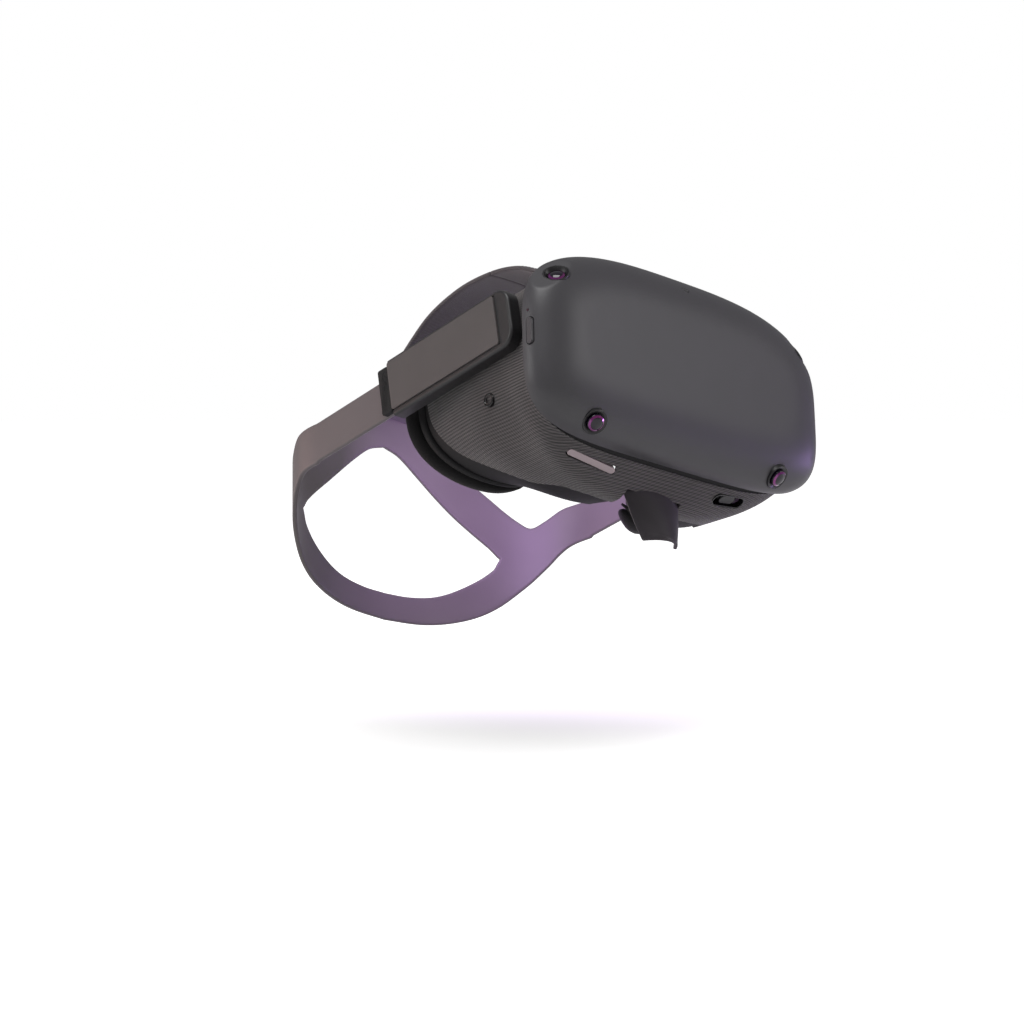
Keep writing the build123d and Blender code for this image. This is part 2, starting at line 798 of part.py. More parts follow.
bush_inner_x = 84.4
with BuildPart() as pivot_pin:
    with BuildSketch(arm_plane(bush_inner_x - 2)):
        Circle(pin_radius + 2.5)
    extrude(amount=2 - fit_gap / 2)
    with BuildSketch(arm_plane(bush_inner_x - 1)):
        Circle(pin_radius)
    extrude(amount=arm_inner_x + arm_cover - bush_inner_x + 1)
    with BuildSketch(arm_plane(arm_inner_x + arm_cover)):
        Circle(pin_radius + 2)
    extrude(amount=arm_outer_x - arm_wall - arm_inner_x - arm_cover)
save_pair(pivot_pin.part, "pivot_pin")

with BuildPart() as pivot_bush:
    with BuildSketch(arm_plane(bush_inner_x)):
        Circle(bush_radius)
        Circle(pin_radius + running_gap, mode=Mode.SUBTRACT)
    extrude(amount=arm_inner_x - fit_gap - bush_inner_x)
save_pair(pivot_bush.part, "pivot_bush")

with BuildPart() as side_tab:
    with BuildSketch(arm_plane(arm_outer_x - tab_recess)):
        with Locations(((arm_rear - 3) / 2, 0.5)):
            RectangleRounded(arm_rear + 3, arm_height - 5, 1.2)
    extrude(amount=tab_thickness)
save_pair(side_tab.part, "side_tab")

with BuildPart() as hook_pad:
    with BuildSketch(arm_plane(strap_side_x + strap_thickness / 2 + fit_gap)):
        with Locations((arm_rear + pad_length / 2, -0.5)):
            RectangleRounded(pad_length, arm_height - 6, 1.0)
    extrude(amount=2.6)
save_pair(hook_pad.part, "hook_pad")

# ---- Head strap ---------------------------------------------------------------------------------
def halo_plan(shift):
    """Half of the strap's path from above, as points from the left side to the back's middle."""
    points = []
    for step in range(17):
        turn = math.pi / 2 * step / 16
        x = (strap_side_x + shift) * math.cos(turn) ** (2 / halo_roundness)
        y = (halo_depth + shift) * math.sin(turn) ** (2 / halo_roundness)
        points.append((x, halo_start_y + y))
    return points


def halo_column(shift):
    """An upright solid inside the strap's path, shifted outwards."""
    half = halo_plan(shift)
    with BuildPart() as column:
        with BuildSketch(Plane.XY.offset(-85)):
            with BuildLine():
                Spline(*half, *[(-x, y) for x, y in half[-2::-1]], tangents=((0, 1), (0, -1)))
                Line(half[0], (-half[0][0], half[0][1]))
            make_face()
        extrude(amount=140)
    return column.part


strap_end = (halo_start_y + 1 - pivot_y) / math.cos(slope)
side_middle = pivot_z - (halo_start_y - pivot_y) * math.tan(slope) - strap_drop
side_top = side_middle + strap_height / 2
side_bottom = side_middle - strap_height / 2
back_y = halo_start_y + halo_depth
loop_z = 36.0

with BuildPart() as halo_strap:
    add(halo_column(strap_thickness / 2))
    add(halo_column(-strap_thickness / 2), mode=Mode.SUBTRACT)
    with BuildSketch(facing_front(halo_start_y - 1)):
        with BuildLine():
            Line((0, 42), (16, 42))
            Spline((16, 42), (21, 36), (26, 29), (40, 20), (62, 2.4), (76, -11), (81, -14.7), (86, -11),
                   (91, side_top - 0.8), (98, side_top))
            Line((98, side_top), (98, side_bottom))
            Spline((98, side_bottom), (92, side_bottom - 2), (86, -37.5), (79.3, -47), (66.6, -59.2), (51.5, -67),
                   (28.3, -72.6), (0, -74.5))
            Line((0, -74.5), (0, 42))
        make_face()
        with BuildLine():
            Spline((0, 20), (10, 16.8), (20, 9.5), (41, -8.4), (62, -25.6), (67.6, -32), (64.6, -38.2),
                   (52, -47.7), (34.6, -56), (17, -59.4), (0, -60.2))
            Line((0, -60.2), (0, 20))
        make_face(mode=Mode.SUBTRACT)
        mirror(about=Plane.YZ)
        with Locations((0, loop_z)):
            Rectangle(top_strap_width + 2, 4, mode=Mode.SUBTRACT)
    extrude(amount=-halo_depth - 10, mode=Mode.INTERSECT)
    for side in (-1, 1):
        with BuildSketch(arm_plane(side * strap_side_x - strap_thickness / 2)):
            with Locations(((strap_front + strap_end) / 2, -strap_drop)):
                Rectangle(strap_end - strap_front, strap_height)
        extrude(amount=strap_thickness)
save(halo_strap.part, "halo_strap")

with BuildPart() as top_strap:
    with BuildLine() as top_path:
        Spline(
            (0, anchor_y, 37.8), (0, 45, 49), (0, 52, 58), (0, 63, 67), (0, 77.5, 74.5), (0, 91, 80.2),
            (0, 109, 83), (0, 132, 81.8), (0, 155, 74.8), (0, 172, 63.5), (0, 188, 50), (0, 201, 39.5),
            (0, 214, loop_z),
        )
    with BuildSketch(Plane(origin=top_path.line @ 0, x_dir=(1, 0, 0), z_dir=top_path.line % 0)):
        Rectangle(top_strap_width, strap_thickness)
    sweep()
save(top_strap.part, "top_strap")
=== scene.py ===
import json
import math

import bmesh
import bpy
from mathutils import Matrix, Vector


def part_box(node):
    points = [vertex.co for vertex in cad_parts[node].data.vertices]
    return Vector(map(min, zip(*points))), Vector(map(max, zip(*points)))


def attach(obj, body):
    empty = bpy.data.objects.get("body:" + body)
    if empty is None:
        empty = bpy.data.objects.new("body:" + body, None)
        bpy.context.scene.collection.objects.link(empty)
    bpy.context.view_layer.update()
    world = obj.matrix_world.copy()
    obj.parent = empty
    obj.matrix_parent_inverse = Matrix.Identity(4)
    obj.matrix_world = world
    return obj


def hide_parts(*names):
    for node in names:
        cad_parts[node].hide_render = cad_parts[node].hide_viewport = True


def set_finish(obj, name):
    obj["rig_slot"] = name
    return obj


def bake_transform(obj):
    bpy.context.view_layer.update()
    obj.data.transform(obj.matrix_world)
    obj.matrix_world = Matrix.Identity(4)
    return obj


bl_info = {
    "name": "VR headset finish",
    "version": (1, 0, 0),
    "blender": (4, 5, 0),
    "location": "View3D > Sidebar > Headset",
    "description": "Fabric, rubber, foam and plastic finishes of a stand-alone headset with a halo strap",
    "category": "Object",
}

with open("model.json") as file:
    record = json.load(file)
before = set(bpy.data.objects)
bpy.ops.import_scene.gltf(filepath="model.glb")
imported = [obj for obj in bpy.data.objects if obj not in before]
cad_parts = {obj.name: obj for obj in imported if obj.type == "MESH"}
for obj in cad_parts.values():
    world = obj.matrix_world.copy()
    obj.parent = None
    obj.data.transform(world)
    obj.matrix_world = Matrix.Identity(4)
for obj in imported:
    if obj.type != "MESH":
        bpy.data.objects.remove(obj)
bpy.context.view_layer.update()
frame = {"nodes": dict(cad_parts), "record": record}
NODES = frame["nodes"]
MM = 0.001

# Rear shell sections: y, half width, top, bottom, top and bottom exponents, middle height (mm)
SHELL = [
    (1.2, 95.3, 47.6, 46.0, 3.0, 4.7, -0.8), (3.2, 89.3, 47.5, 47.0, 3.0, 4.2, -2.0),
    (20, 88.6, 52, 57, 2.8, 2.6, -6), (50, 86.5, 50, 56, 2.6, 2.6, -6), (92, 78, 46, 48, 2.6, 2.6, -6),
]
# Where the knit ends: height, y (mm)
FABRIC_EDGE = [(-62, 24), (-59, 29), (-56, 40), (-40, 68), (-23, 82), (-7, 86), (10, 90), (60, 92)]
# Face curve: radius and the y of its axis (mm)
FACE_RADIUS, FACE_AXIS = 102.5, 154.5
# How far the underside rises at the nose, near the front and behind it (mm)
SHELL_RISE, BAND_RISE = 5.0, 17.0
SHELL_MIDDLE = -6
FABRIC_FRONT = 2.9
# Front cover: half width, top, bottom, middle height, outline exponents above and below it (mm)
COVER_HALF, COVER_TOP, COVER_BOTTOM, COVER_MIDDLE = 96.5, 48.8, 47.2, -0.8
COVER_DEPTH, COVER_ROUND, COVER_POWER = 16.6, 29.0, 2.3
COVER_POWER_TOP, COVER_POWER_BOTTOM = 3.0, 4.7
# Nose arch: radius, height of its centre, and a height below the whole shell (mm)
ARCH_RADIUS, ARCH_CENTRE, ARCH_FOOT = 18, -44, -95
# Halo strap: x, height of its edges and of its rear window's edges (mm)
STRAP_TOP = [
    (0, 42), (16, 42), (21, 36), (26, 29), (40, 20), (62, 2.4), (76, -11), (81, -14.7), (86, -11),
    (91, -5.4), (98, -4.56),
]
STRAP_BOTTOM = [
    (0, -74.5), (28.3, -72.6), (51.5, -67), (66.6, -59.2), (79.3, -47), (86, -37.5), (92, -26.56),
    (98, -24.56),
]
TIP_X, TIP_Z = 67.6, -32
WINDOW_TOP = [(0, 20), (10, 16.8), (20, 9.5), (41, -8.4), (62, -25.6), (TIP_X, TIP_Z)]
WINDOW_BOTTOM = [(0, -60.2), (17, -59.4), (34.6, -56), (52, -47.7), (64.6, -38.2), (TIP_X, TIP_Z)]
# Halo strap in plan: side, start and length of the straight side, depth of the curved back (mm)
STRAP_SIDE, STRAP_FRONT, STRAP_STRAIGHT, STRAP_BACK, STRAP_POWER = 93.2, 40, 110, 60, 2.3
ARM_HEIGHT, ARM_FRONT, ARM_LEAN = 7.6, 20, math.tan(math.radians(8.6))
BAND_DROP, BAND_HALF = 2.5, 10
# Top strap's side view: y, z (mm)
TOP_STRAP = [
    (43, 37.8), (45, 49), (52, 58), (63, 67), (77.5, 74.5), (91, 80.2), (109, 83), (132, 81.8),
    (155, 74.8), (172, 63.5), (188, 50), (201, 39.5), (214, 36),
]
# Controls under the shell: middle, direction that they face, direction of their length
ROCKER = ((-46, 8.8, -51.78), (-0.109, -0.526, -0.844), (0.992, -0.022, -0.115))
SLIDER = ((46, 8.8, -51.78), (0.109, -0.526, -0.844), (0.992, 0.022, 0.115))
# Tracking cameras: middle, direction that they face
CAMERAS = {
    "upper_left": ((81.5, -8, 27.5), (0.6, -0.55, 0.58)),
    "upper_right": ((-81.5, -8, 27.5), (-0.6, -0.55, 0.58)),
    "lower_left": ((62, -12, -43), (0.15, -0.72, -0.68)),
    "lower_right": ((-62, -12, -43), (-0.15, -0.72, -0.68)),
}
DOME_RADIUS, DOME_RISE = 4.25, 1.9
# Cover openings: middle, facing, long way, length, width, from, to, corners (mm)
COVER_OPENINGS = (
    ((-COVER_HALF, -4.4, -3.2), (-1, 0, 0), (0, 0, 1), 13.9, 4.1, -6, 4, 10),  # power button
    ((-COVER_HALF, -3.4, 7.3), (-1, 0, 0), (0, 0, 1), 1.5, 1.3, -6, 4, 6),  # status light
    ((0, -16, 38.5), (0, -1, 0), (1, 0, 0), 3.4, 0.9, -6, 4, 6),  # microphone
)
SCATTER_SEED, SCATTER_DENSITY = 7, 2.0e6


def linear(value):
    """A display value of 0 to 255 as linear light."""
    c = value / 255
    return c / 12.92 if c <= 0.04045 else ((c + 0.055) / 1.055) ** 2.4


def rgb(r, g, b):
    return (linear(r), linear(g), linear(b), 1.0)


def along(table, x):
    """Piecewise value of a table of (x, value) pairs, smooth between them."""
    if x <= table[0][0]:
        return table[0][1]
    for k in range(len(table) - 1):
        (x0, v0), (x1, v1) = table[k], table[k + 1]
        if x <= x1:
            before = table[k - 1] if k else (2 * x0 - x1, 2 * v0 - v1)
            after = table[k + 2] if k + 2 < len(table) else (2 * x1 - x0, 2 * v1 - v0)
            m0 = (v1 - before[1]) / (x1 - before[0]) * (x1 - x0)
            m1 = (after[1] - v0) / (after[0] - x0) * (x1 - x0)
            t = (x - x0) / (x1 - x0)
            return ((2 * t**3 - 3 * t**2 + 1) * v0 + (t**3 - 2 * t**2 + t) * m0
                    + (3 * t**2 - 2 * t**3) * v1 + (t**3 - t**2) * m1)
    return table[-1][1]


def power(value, n):
    """One coordinate of a superellipse of exponent n, from its sine or cosine."""
    return math.copysign(abs(value) ** (2 / n), value)


def shell_at(angle, y, grow=0.0):
    """Point of the rear shell's outside at an angle round it and a depth, in mm."""
    if y <= SHELL[1][0]:
        t = max(0.0, (y - SHELL[0][0]) / (SHELL[1][0] - SHELL[0][0]))
        row = [a + (b - a) * t for a, b in zip(SHELL[0], SHELL[1])]
    else:
        row = [y] + [along([(s[0], s[k]) for s in SHELL[1:]], y) for k in range(1, 7)]
    _, wide, top, bottom, n_top, n_bottom, middle = row
    up = math.sin(angle) >= 0
    n = n_top if up else n_bottom
    x = (wide + grow) * power(math.cos(angle), n)
    z = middle + ((top if up else bottom) + grow) * power(math.sin(angle), n)
    return Vector((x, y, z if up else z + nose_lift(x, y)))


def nose_lift(x, y):
    """How far the underside rises towards the nose, in mm."""
    near, far = (min(max((y - start) / 26, 0), 1) for start in (12, 38))
    return (SHELL_RISE * math.exp(-(x / 26) ** 2) * near * near * (3 - 2 * near)
            + BAND_RISE * math.exp(-(x / 42) ** 2) * far * far * (3 - 2 * far))


def face_y(x):
    """Depth of the face curve at a place across it, in mm."""
    return FACE_AXIS - math.sqrt(max(FACE_RADIUS**2 - x * x, 1.0))


# ---- Shader groups and materials ------------------------------------------------------------

def socket(node, name, value):
    node.inputs[name].default_value = value


def new_group(name, inputs, outputs):
    tree = bpy.data.node_groups.new(name, "ShaderNodeTree")
    for label, kind, value in inputs:
        item = tree.interface.new_socket(label, in_out="INPUT", socket_type=kind)
        if value is not None:
            item.default_value = value
    for label, kind in outputs:
        tree.interface.new_socket(label, in_out="OUTPUT", socket_type=kind)
    return tree, tree.nodes.new("NodeGroupInput"), tree.nodes.new("NodeGroupOutput")


def maths(tree, operation, a, b=None, clamp=False):
    node = tree.nodes.new("ShaderNodeMath")
    node.operation, node.use_clamp = operation, clamp
    for k, value in enumerate((a, b)):
        if value is None:
            continue
        if isinstance(value, (int, float)):
            node.inputs[k].default_value = value
        else:
            tree.links.new(value, node.inputs[k])
    return node.outputs[0]


def grain_group():
    """Moulded grain: fine bumps, broad cloudiness and small scuffs."""
    tree, given, out = new_group(
        "Moulded grain",
        [("Vector", "NodeSocketVector", None), ("Grain Scale", "NodeSocketFloat", 2600.0)],
        [("Height", "NodeSocketFloat"), ("Cloud", "NodeSocketFloat"), ("Scuff", "NodeSocketFloat")])
    fine = tree.nodes.new("ShaderNodeTexNoise")
    socket(fine, "Detail", 3.0)
    tree.links.new(given.outputs["Vector"], fine.inputs["Vector"])
    tree.links.new(given.outputs["Grain Scale"], fine.inputs["Scale"])
    broad = tree.nodes.new("ShaderNodeTexNoise")
    socket(broad, "Scale", 38.0)
    socket(broad, "Detail", 2.0)
    tree.links.new(given.outputs["Vector"], broad.inputs["Vector"])
    scratch = tree.nodes.new("ShaderNodeTexNoise")
    socket(scratch, "Scale", 420.0)
    socket(scratch, "Detail", 5.0)
    tree.links.new(given.outputs["Vector"], scratch.inputs["Vector"])
    tree.links.new(fine.outputs[0], out.inputs["Height"])
    tree.links.new(broad.outputs[0], out.inputs["Cloud"])
    tree.links.new(maths(tree, "GREATER_THAN", scratch.outputs[0], 0.68), out.inputs["Scuff"])
    return tree


def knit_group():
    """Ribbed knit: level ribs on the sides, slanting ribs where the cloth faces up or down."""
    tree, given, out = new_group(
        "Ribbed knit",
        [("Vector", "NodeSocketVector", None), ("Pitch", "NodeSocketFloat", 0.0016),
         ("Slant", "NodeSocketFloat", 0.5236)],
        [("Height", "NodeSocketFloat"), ("Rib", "NodeSocketFloat")])
    split = tree.nodes.new("ShaderNodeSeparateXYZ")
    tree.links.new(given.outputs["Vector"], split.inputs[0])
    shape = tree.nodes.new("ShaderNodeNewGeometry")
    facing = tree.nodes.new("ShaderNodeSeparateXYZ")
    tree.links.new(shape.outputs["Normal"], facing.inputs[0])
    flat = maths(tree, "POWER", maths(tree, "ABSOLUTE", facing.outputs[2]), 2.0, clamp=True)
    turn = maths(tree, "DIVIDE", 2 * math.pi, given.outputs["Pitch"])

    def wave(value, factor=1.0):
        scaled = maths(tree, "MULTIPLY", value, turn)
        return maths(tree, "SINE", maths(tree, "MULTIPLY", scaled, factor))

    level = wave(split.outputs[2])
    slant = maths(tree, "ADD",
                  maths(tree, "MULTIPLY", split.outputs[0], maths(tree, "SINE", given.outputs["Slant"])),
                  maths(tree, "MULTIPLY", split.outputs[1], maths(tree, "COSINE", given.outputs["Slant"])))
    slanted = wave(slant)
    cross = maths(tree, "MULTIPLY", wave(maths(tree, "ADD", split.outputs[0], split.outputs[1]), 2.0), 0.35)
    rib = maths(tree, "ADD", maths(tree, "MULTIPLY", level, maths(tree, "SUBTRACT", 1.0, flat)),
                maths(tree, "MULTIPLY", slanted, flat))
    tree.links.new(maths(tree, "ADD", rib, cross), out.inputs["Height"])
    tree.links.new(maths(tree, "ADD", maths(tree, "MULTIPLY", rib, 0.5), 0.5), out.inputs["Rib"])
    return tree


GROUPS = {}
MATERIALS = {}
# name: colour, second colour, roughness, pattern, pattern size, bump distance (m), extras
FINISHES = {
    "Soft touch cover": (rgb(62, 61, 64), rgb(67, 65, 69), 0.44, "grain", 2600, 0.00002,
        {"Specular IOR Level": 0.42}),
    "Black moulding": (rgb(26, 25, 27), rgb(34, 33, 35), 0.42, "grain", 2200, 0.00003, {}),
    "Gloss black": (rgb(10, 9, 11), rgb(16, 14, 17), 0.2, "grain", 2200, 0.00001, {}),
    "Ribbed fabric": (rgb(42, 40, 41), rgb(88, 83, 84), 0.9, "knit", 0.0014, 0.00013,
        {"Sheen Weight": 0.25, "Sheen Roughness": 0.4}),
    "Gasket rubber": (rgb(22, 21, 23), rgb(27, 26, 28), 0.7, "grain", 1500, 0.00003,
        {"Specular IOR Level": 0.25}),
    "Foam skin": (rgb(20, 19, 20), rgb(28, 27, 28), 0.95, "grain", 1300, 0.0002,
        {"Specular IOR Level": 0.15, "Sheen Weight": 0.1}),
    "Nose rubber": (rgb(44, 40, 44), rgb(54, 48, 54), 0.5, "grain", 1800, 0.00003,
        {"Specular IOR Level": 0.4}),
    "Strap rubber": (rgb(90, 84, 86), rgb(99, 93, 95), 0.46, "grain", 1900, 0.00003,
        {"Specular IOR Level": 0.4}),
    "Strap webbing": (rgb(66, 61, 64), rgb(82, 76, 80), 0.85, "knit", 0.0009, 0.00005,
        {"Sheen Weight": 0.2}),
    "Tab skin": (rgb(74, 70, 70), rgb(82, 78, 78), 0.62, "grain", 2400, 0.00003,
        {"Specular IOR Level": 0.35}),
    "Hook tape": (rgb(16, 16, 17), rgb(28, 27, 29), 0.9, "grain", 3000, 0.0002, {}),
    "Stitch thread": (rgb(44, 42, 44), rgb(60, 56, 59), 0.8, "grain", 5000, 0.00005, {}),
    "Tracking glass": (rgb(8, 4, 12), rgb(22, 8, 34), 0.06, "grain", 900, 0.000002,
        {"Coat Weight": 0.6, "Coat Roughness": 0.03, "Specular IOR Level": 0.2}),
    # Painted reflection: violet colour on a ring over each camera dome, standing in for the lens coating's
    # coloured reflection
    "Violet coating": (rgb(70, 16, 120), rgb(150, 34, 96), 0.15, "grain", 300, 0.000002,
        {"Coat Weight": 1.0, "Metallic": 0.6}),
    "Viewing glass": (rgb(60, 44, 78), rgb(90, 60, 110), 0.08, "rings", 900, 0.00002, {"Coat Weight": 0.6}),
    "Solder mask": (rgb(16, 66, 38), rgb(30, 96, 60), 0.4, "grain", 700, 0.00008, {}),
    "Machined aluminium": (rgb(188, 188, 192), rgb(208, 208, 212), 0.32, "grain", 1500, 0.00002,
        {"Metallic": 1.0}),
    "Turned steel": (rgb(176, 176, 180), rgb(200, 200, 204), 0.28, "grain", 1700, 0.00002,
        {"Metallic": 1.0}),
    "Battery film": (rgb(82, 82, 88), rgb(96, 96, 102), 0.38, "grain", 500, 0.00006, {}),
    "Display glass": (rgb(12, 12, 14), rgb(18, 18, 22), 0.08, "grain", 700, 0.000004, {"Coat Weight": 1.0}),
    "Clear light": (rgb(52, 30, 40), rgb(64, 38, 48), 0.2, "grain", 1500, 0.00001, {}),
    "Natural nylon": (rgb(206, 202, 192), rgb(220, 216, 208), 0.5, "grain", 1500, 0.00004, {}),
    # Painted reflection: the volume rocker's light pink colour stands in for pink light reflected by its gloss
    # face
    "Rocker painted reflection": (rgb(150, 136, 140), rgb(168, 152, 156), 0.4, "grain", 2200, 0.00002, {}),
}
SLOT_FINISH = {
    "cover_plastic": "Soft touch cover", "black_plastic": "Black moulding",
    "knit_fabric": "Ribbed fabric", "foam": "Foam skin",
    "soft_rubber": "Nose rubber", "strap_rubber": "Strap rubber",
    "tab_fabric": "Tab skin", "hook_fabric": "Hook tape",
    "lens_glass": "Viewing glass", "camera_glass": "Tracking glass",
    "circuit_board": "Solder mask", "aluminium": "Machined aluminium",
    "steel": "Turned steel", "battery_wrap": "Battery film",
    "display_glass": "Display glass", "led": "Clear light", "nylon": "Natural nylon",
}


def finish(name):
    """The named material, built the first time it is asked for."""
    if name in MATERIALS:
        return MATERIALS[name]
    if not GROUPS:
        GROUPS.update(grain=grain_group(), knit=knit_group())
    base, second, rough, pattern, size, depth, extras = FINISHES[name]
    mat = bpy.data.materials.new(name)
    mat.use_nodes = True
    tree = mat.node_tree
    shader = tree.nodes["Principled BSDF"]
    shader.inputs["Roughness"].default_value = rough
    for label, value in extras.items():
        shader.inputs[label].default_value = value
    place = tree.nodes.new("ShaderNodeTexCoord")
    grain = tree.nodes.new("ShaderNodeGroup")
    grain.node_tree = GROUPS["knit" if pattern == "knit" else "grain"]
    tree.links.new(place.outputs["Object"], grain.inputs["Vector"])
    height = grain.outputs["Height"]
    if pattern == "knit":
        socket(grain, "Pitch", size)
        fleck = tree.nodes.new("ShaderNodeGroup")
        fleck.node_tree = GROUPS["grain"]
        tree.links.new(place.outputs["Object"], fleck.inputs["Vector"])
        cloud = maths(tree, "ADD", fleck.outputs["Cloud"], 0.45)
        blend = maths(tree, "MULTIPLY", grain.outputs["Rib"], cloud, clamp=True)
        scuff = fleck.outputs["Height"]
    else:
        socket(grain, "Grain Scale", float(size))
        blend, scuff = grain.outputs["Cloud"], grain.outputs["Scuff"]
        if pattern == "rings":
            ring = tree.nodes.new("ShaderNodeTexWave")
            ring.wave_type, ring.rings_direction = "RINGS", "Y"
            socket(ring, "Scale", 160.0)
            tree.links.new(place.outputs["Object"], ring.inputs["Vector"])
            height = ring.outputs["Fac"]
    mix = tree.nodes.new("ShaderNodeMix")
    mix.data_type = "RGBA"
    mix.inputs["A"].default_value, mix.inputs["B"].default_value = base, second
    tree.links.new(blend, mix.inputs["Factor"])
    tree.links.new(mix.outputs["Result"], shader.inputs["Base Color"])
    worn = maths(tree, "ADD", maths(tree, "MULTIPLY", scuff, 0.06), rough - 0.02, clamp=True)
    tree.links.new(worn, shader.inputs["Roughness"])
    bump = tree.nodes.new("ShaderNodeBump")
    bump.inputs["Distance"].default_value = depth
    bump.inputs["Strength"].default_value = 0.9
    tree.links.new(height, bump.inputs["Height"])
    tree.links.new(bump.outputs[0], shader.inputs["Normal"])
    MATERIALS[name] = mat
    return mat


# ---- Mesh helpers -----------------------------------------------------------------------------

def new_mesh(name, points, edges, faces):
    """A mesh from points in mm."""
    mesh = bpy.data.meshes.new(name)
    mesh.from_pydata([tuple(Vector(p) * MM) for p in points], edges, faces)
    return mesh


def face_outwards(mesh, merge=True):
    """Turns a mesh's faces outwards, after its doubled points are merged."""
    work = bmesh.new()
    work.from_mesh(mesh)
    if merge:
        bmesh.ops.remove_doubles(work, verts=work.verts, dist=1e-6)
    bmesh.ops.recalc_face_normals(work, faces=work.faces)
    work.to_mesh(mesh)
    work.free()


def new_object(name, mesh):
    thing = bpy.data.objects.new(name, mesh)
    bpy.context.scene.collection.objects.link(thing)
    return thing


def apply_modifiers(thing):
    """Makes the result of a piece's modifiers its plain mesh."""
    bpy.context.view_layer.update()
    final = bpy.data.meshes.new_from_object(thing.evaluated_get(bpy.context.evaluated_depsgraph_get()))
    thing.modifiers.clear()
    thing.data = final


def piece(name, points, faces, finish_name, body, slot, changes=(), sharp=40, replaces=()):
    """A finished piece: mesh, modifiers applied, material, body, slot."""
    mesh = new_mesh(name, points, [], faces)
    face_outwards(mesh)
    return settle(new_object(name, mesh), finish_name, body, slot, changes, sharp, replaces)


def settle(thing, finish_name, body, slot, changes=(), sharp=40, replaces=()):
    """Applies modifiers, gives the finish, and says what the piece rides on and replaces."""
    for kind, values in changes:
        modifier = thing.modifiers.new(kind.title(), kind)
        for key, value in values.items():
            setattr(modifier, key, value)
    if changes:
        apply_modifiers(thing)
    thing.data.materials.clear()
    thing.data.materials.append(finish(finish_name))
    for face in thing.data.polygons:
        face.use_smooth = True
        face.material_index = 0
    thing.data.set_sharp_from_angle(angle=math.radians(sharp))
    if body:
        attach(thing, body)
    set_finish(thing, slot)
    if replaces:
        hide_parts(*replaces)
    return thing


def grid_faces(rows, columns, wrap=False):
    """Four-sided faces of a grid of points, closed round its columns if wrap is true."""
    faces = []
    for r in range(rows - 1):
        for c in range(columns if wrap else columns - 1):
            d = (c + 1) % columns
            faces.append((r * columns + c, r * columns + d, (r + 1) * columns + d, (r + 1) * columns + c))
    return faces


def wall(mm, offset=-1.0):
    """Modifier that gives a sheet its thickness."""
    return ("SOLIDIFY", {"thickness": mm * MM, "offset": offset, "use_even_offset": True})


def rounded(mm, segments=2):
    """Modifier that rounds a piece's edges."""
    limits = {"limit_method": "ANGLE", "angle_limit": math.radians(50)}
    return ("BEVEL", {"width": mm * MM, "segments": segments, **limits})


def repeat_tree(name, finish_name, scatter):
    """Instances along a line, or scattered over faces, ending in one plain mesh."""
    tree = bpy.data.node_groups.new(name, "GeometryNodeTree")
    tree.interface.new_socket("Geometry", in_out="INPUT", socket_type="NodeSocketGeometry")
    for label, value in (("Spacing", 0.003), ("Length", 0.002), ("Radius", 0.0003)):
        tree.interface.new_socket(label, in_out="INPUT", socket_type="NodeSocketFloat").default_value = value
    tree.interface.new_socket("Geometry", in_out="OUTPUT", socket_type="NodeSocketGeometry")
    node, link = tree.nodes.new, tree.links.new
    given, out = node("NodeGroupInput"), node("NodeGroupOutput")
    unit = node("GeometryNodeMeshCylinder")
    unit.inputs["Vertices"].default_value = 6
    link(given.outputs["Radius"], unit.inputs["Radius"])
    link(given.outputs["Length"], unit.inputs["Depth"])
    instances = node("GeometryNodeInstanceOnPoints")
    if scatter:
        spread = node("GeometryNodeDistributePointsOnFaces")
        spread.distribute_method = "POISSON"
        spread.inputs["Seed"].default_value = SCATTER_SEED
        spread.inputs["Density Max"].default_value = SCATTER_DENSITY
        link(given.outputs["Geometry"], spread.inputs["Mesh"])
        link(given.outputs["Spacing"], spread.inputs["Distance Min"])
        link(spread.outputs["Points"], instances.inputs["Points"])
        link(spread.outputs["Rotation"], instances.inputs["Rotation"])
    else:
        curve, even = node("GeometryNodeMeshToCurve"), node("GeometryNodeResampleCurve")
        tangent = node("GeometryNodeInputTangent")
        even.mode = "LENGTH"
        align = node("FunctionNodeAlignRotationToVector")
        align.axis = "Z"
        link(given.outputs["Geometry"], curve.inputs[0])
        link(curve.outputs[0], even.inputs["Curve"])
        link(given.outputs["Spacing"], even.inputs["Length"])
        link(even.outputs[0], instances.inputs["Points"])
        link(tangent.outputs[0], align.inputs["Vector"])
        link(align.outputs[0], instances.inputs["Rotation"])
    real, paint = node("GeometryNodeRealizeInstances"), node("GeometryNodeSetMaterial")
    paint.inputs["Material"].default_value = finish(finish_name)
    link(unit.outputs["Mesh"], instances.inputs["Instance"])
    link(instances.outputs[0], real.inputs[0])
    link(real.outputs[0], paint.inputs[0])
    link(paint.outputs[0], out.inputs[0])
    return tree


def repeated(name, lines, faces, finish_name, body, slot, spacing, length, radius, blend=None):
    """A piece made by the repeat tree from lines of points (mm) or from faces."""
    points = [p for line in lines for p in line]
    edges, start = [], 0
    if not faces:
        for line in lines:
            edges += [(start + k, start + k + 1) for k in range(len(line) - 1)]
            start += len(line)
    thing = new_object(name, new_mesh(name, points, edges, faces or []))
    tree = repeat_tree(name + " tree", finish_name, bool(faces))
    modifier = thing.modifiers.new("Repeat", "NODES")
    modifier.node_group = tree
    values = {"Spacing": spacing, "Length": length, "Radius": radius}
    for item in tree.interface.items_tree:
        if item.item_type == "SOCKET" and item.in_out == "INPUT" and item.name in values:
            modifier[item.identifier] = values[item.name] * MM
    apply_modifiers(thing)
    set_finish(thing, slot)
    if blend:
        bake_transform(thing)
    else:
        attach(thing, body)
    return thing


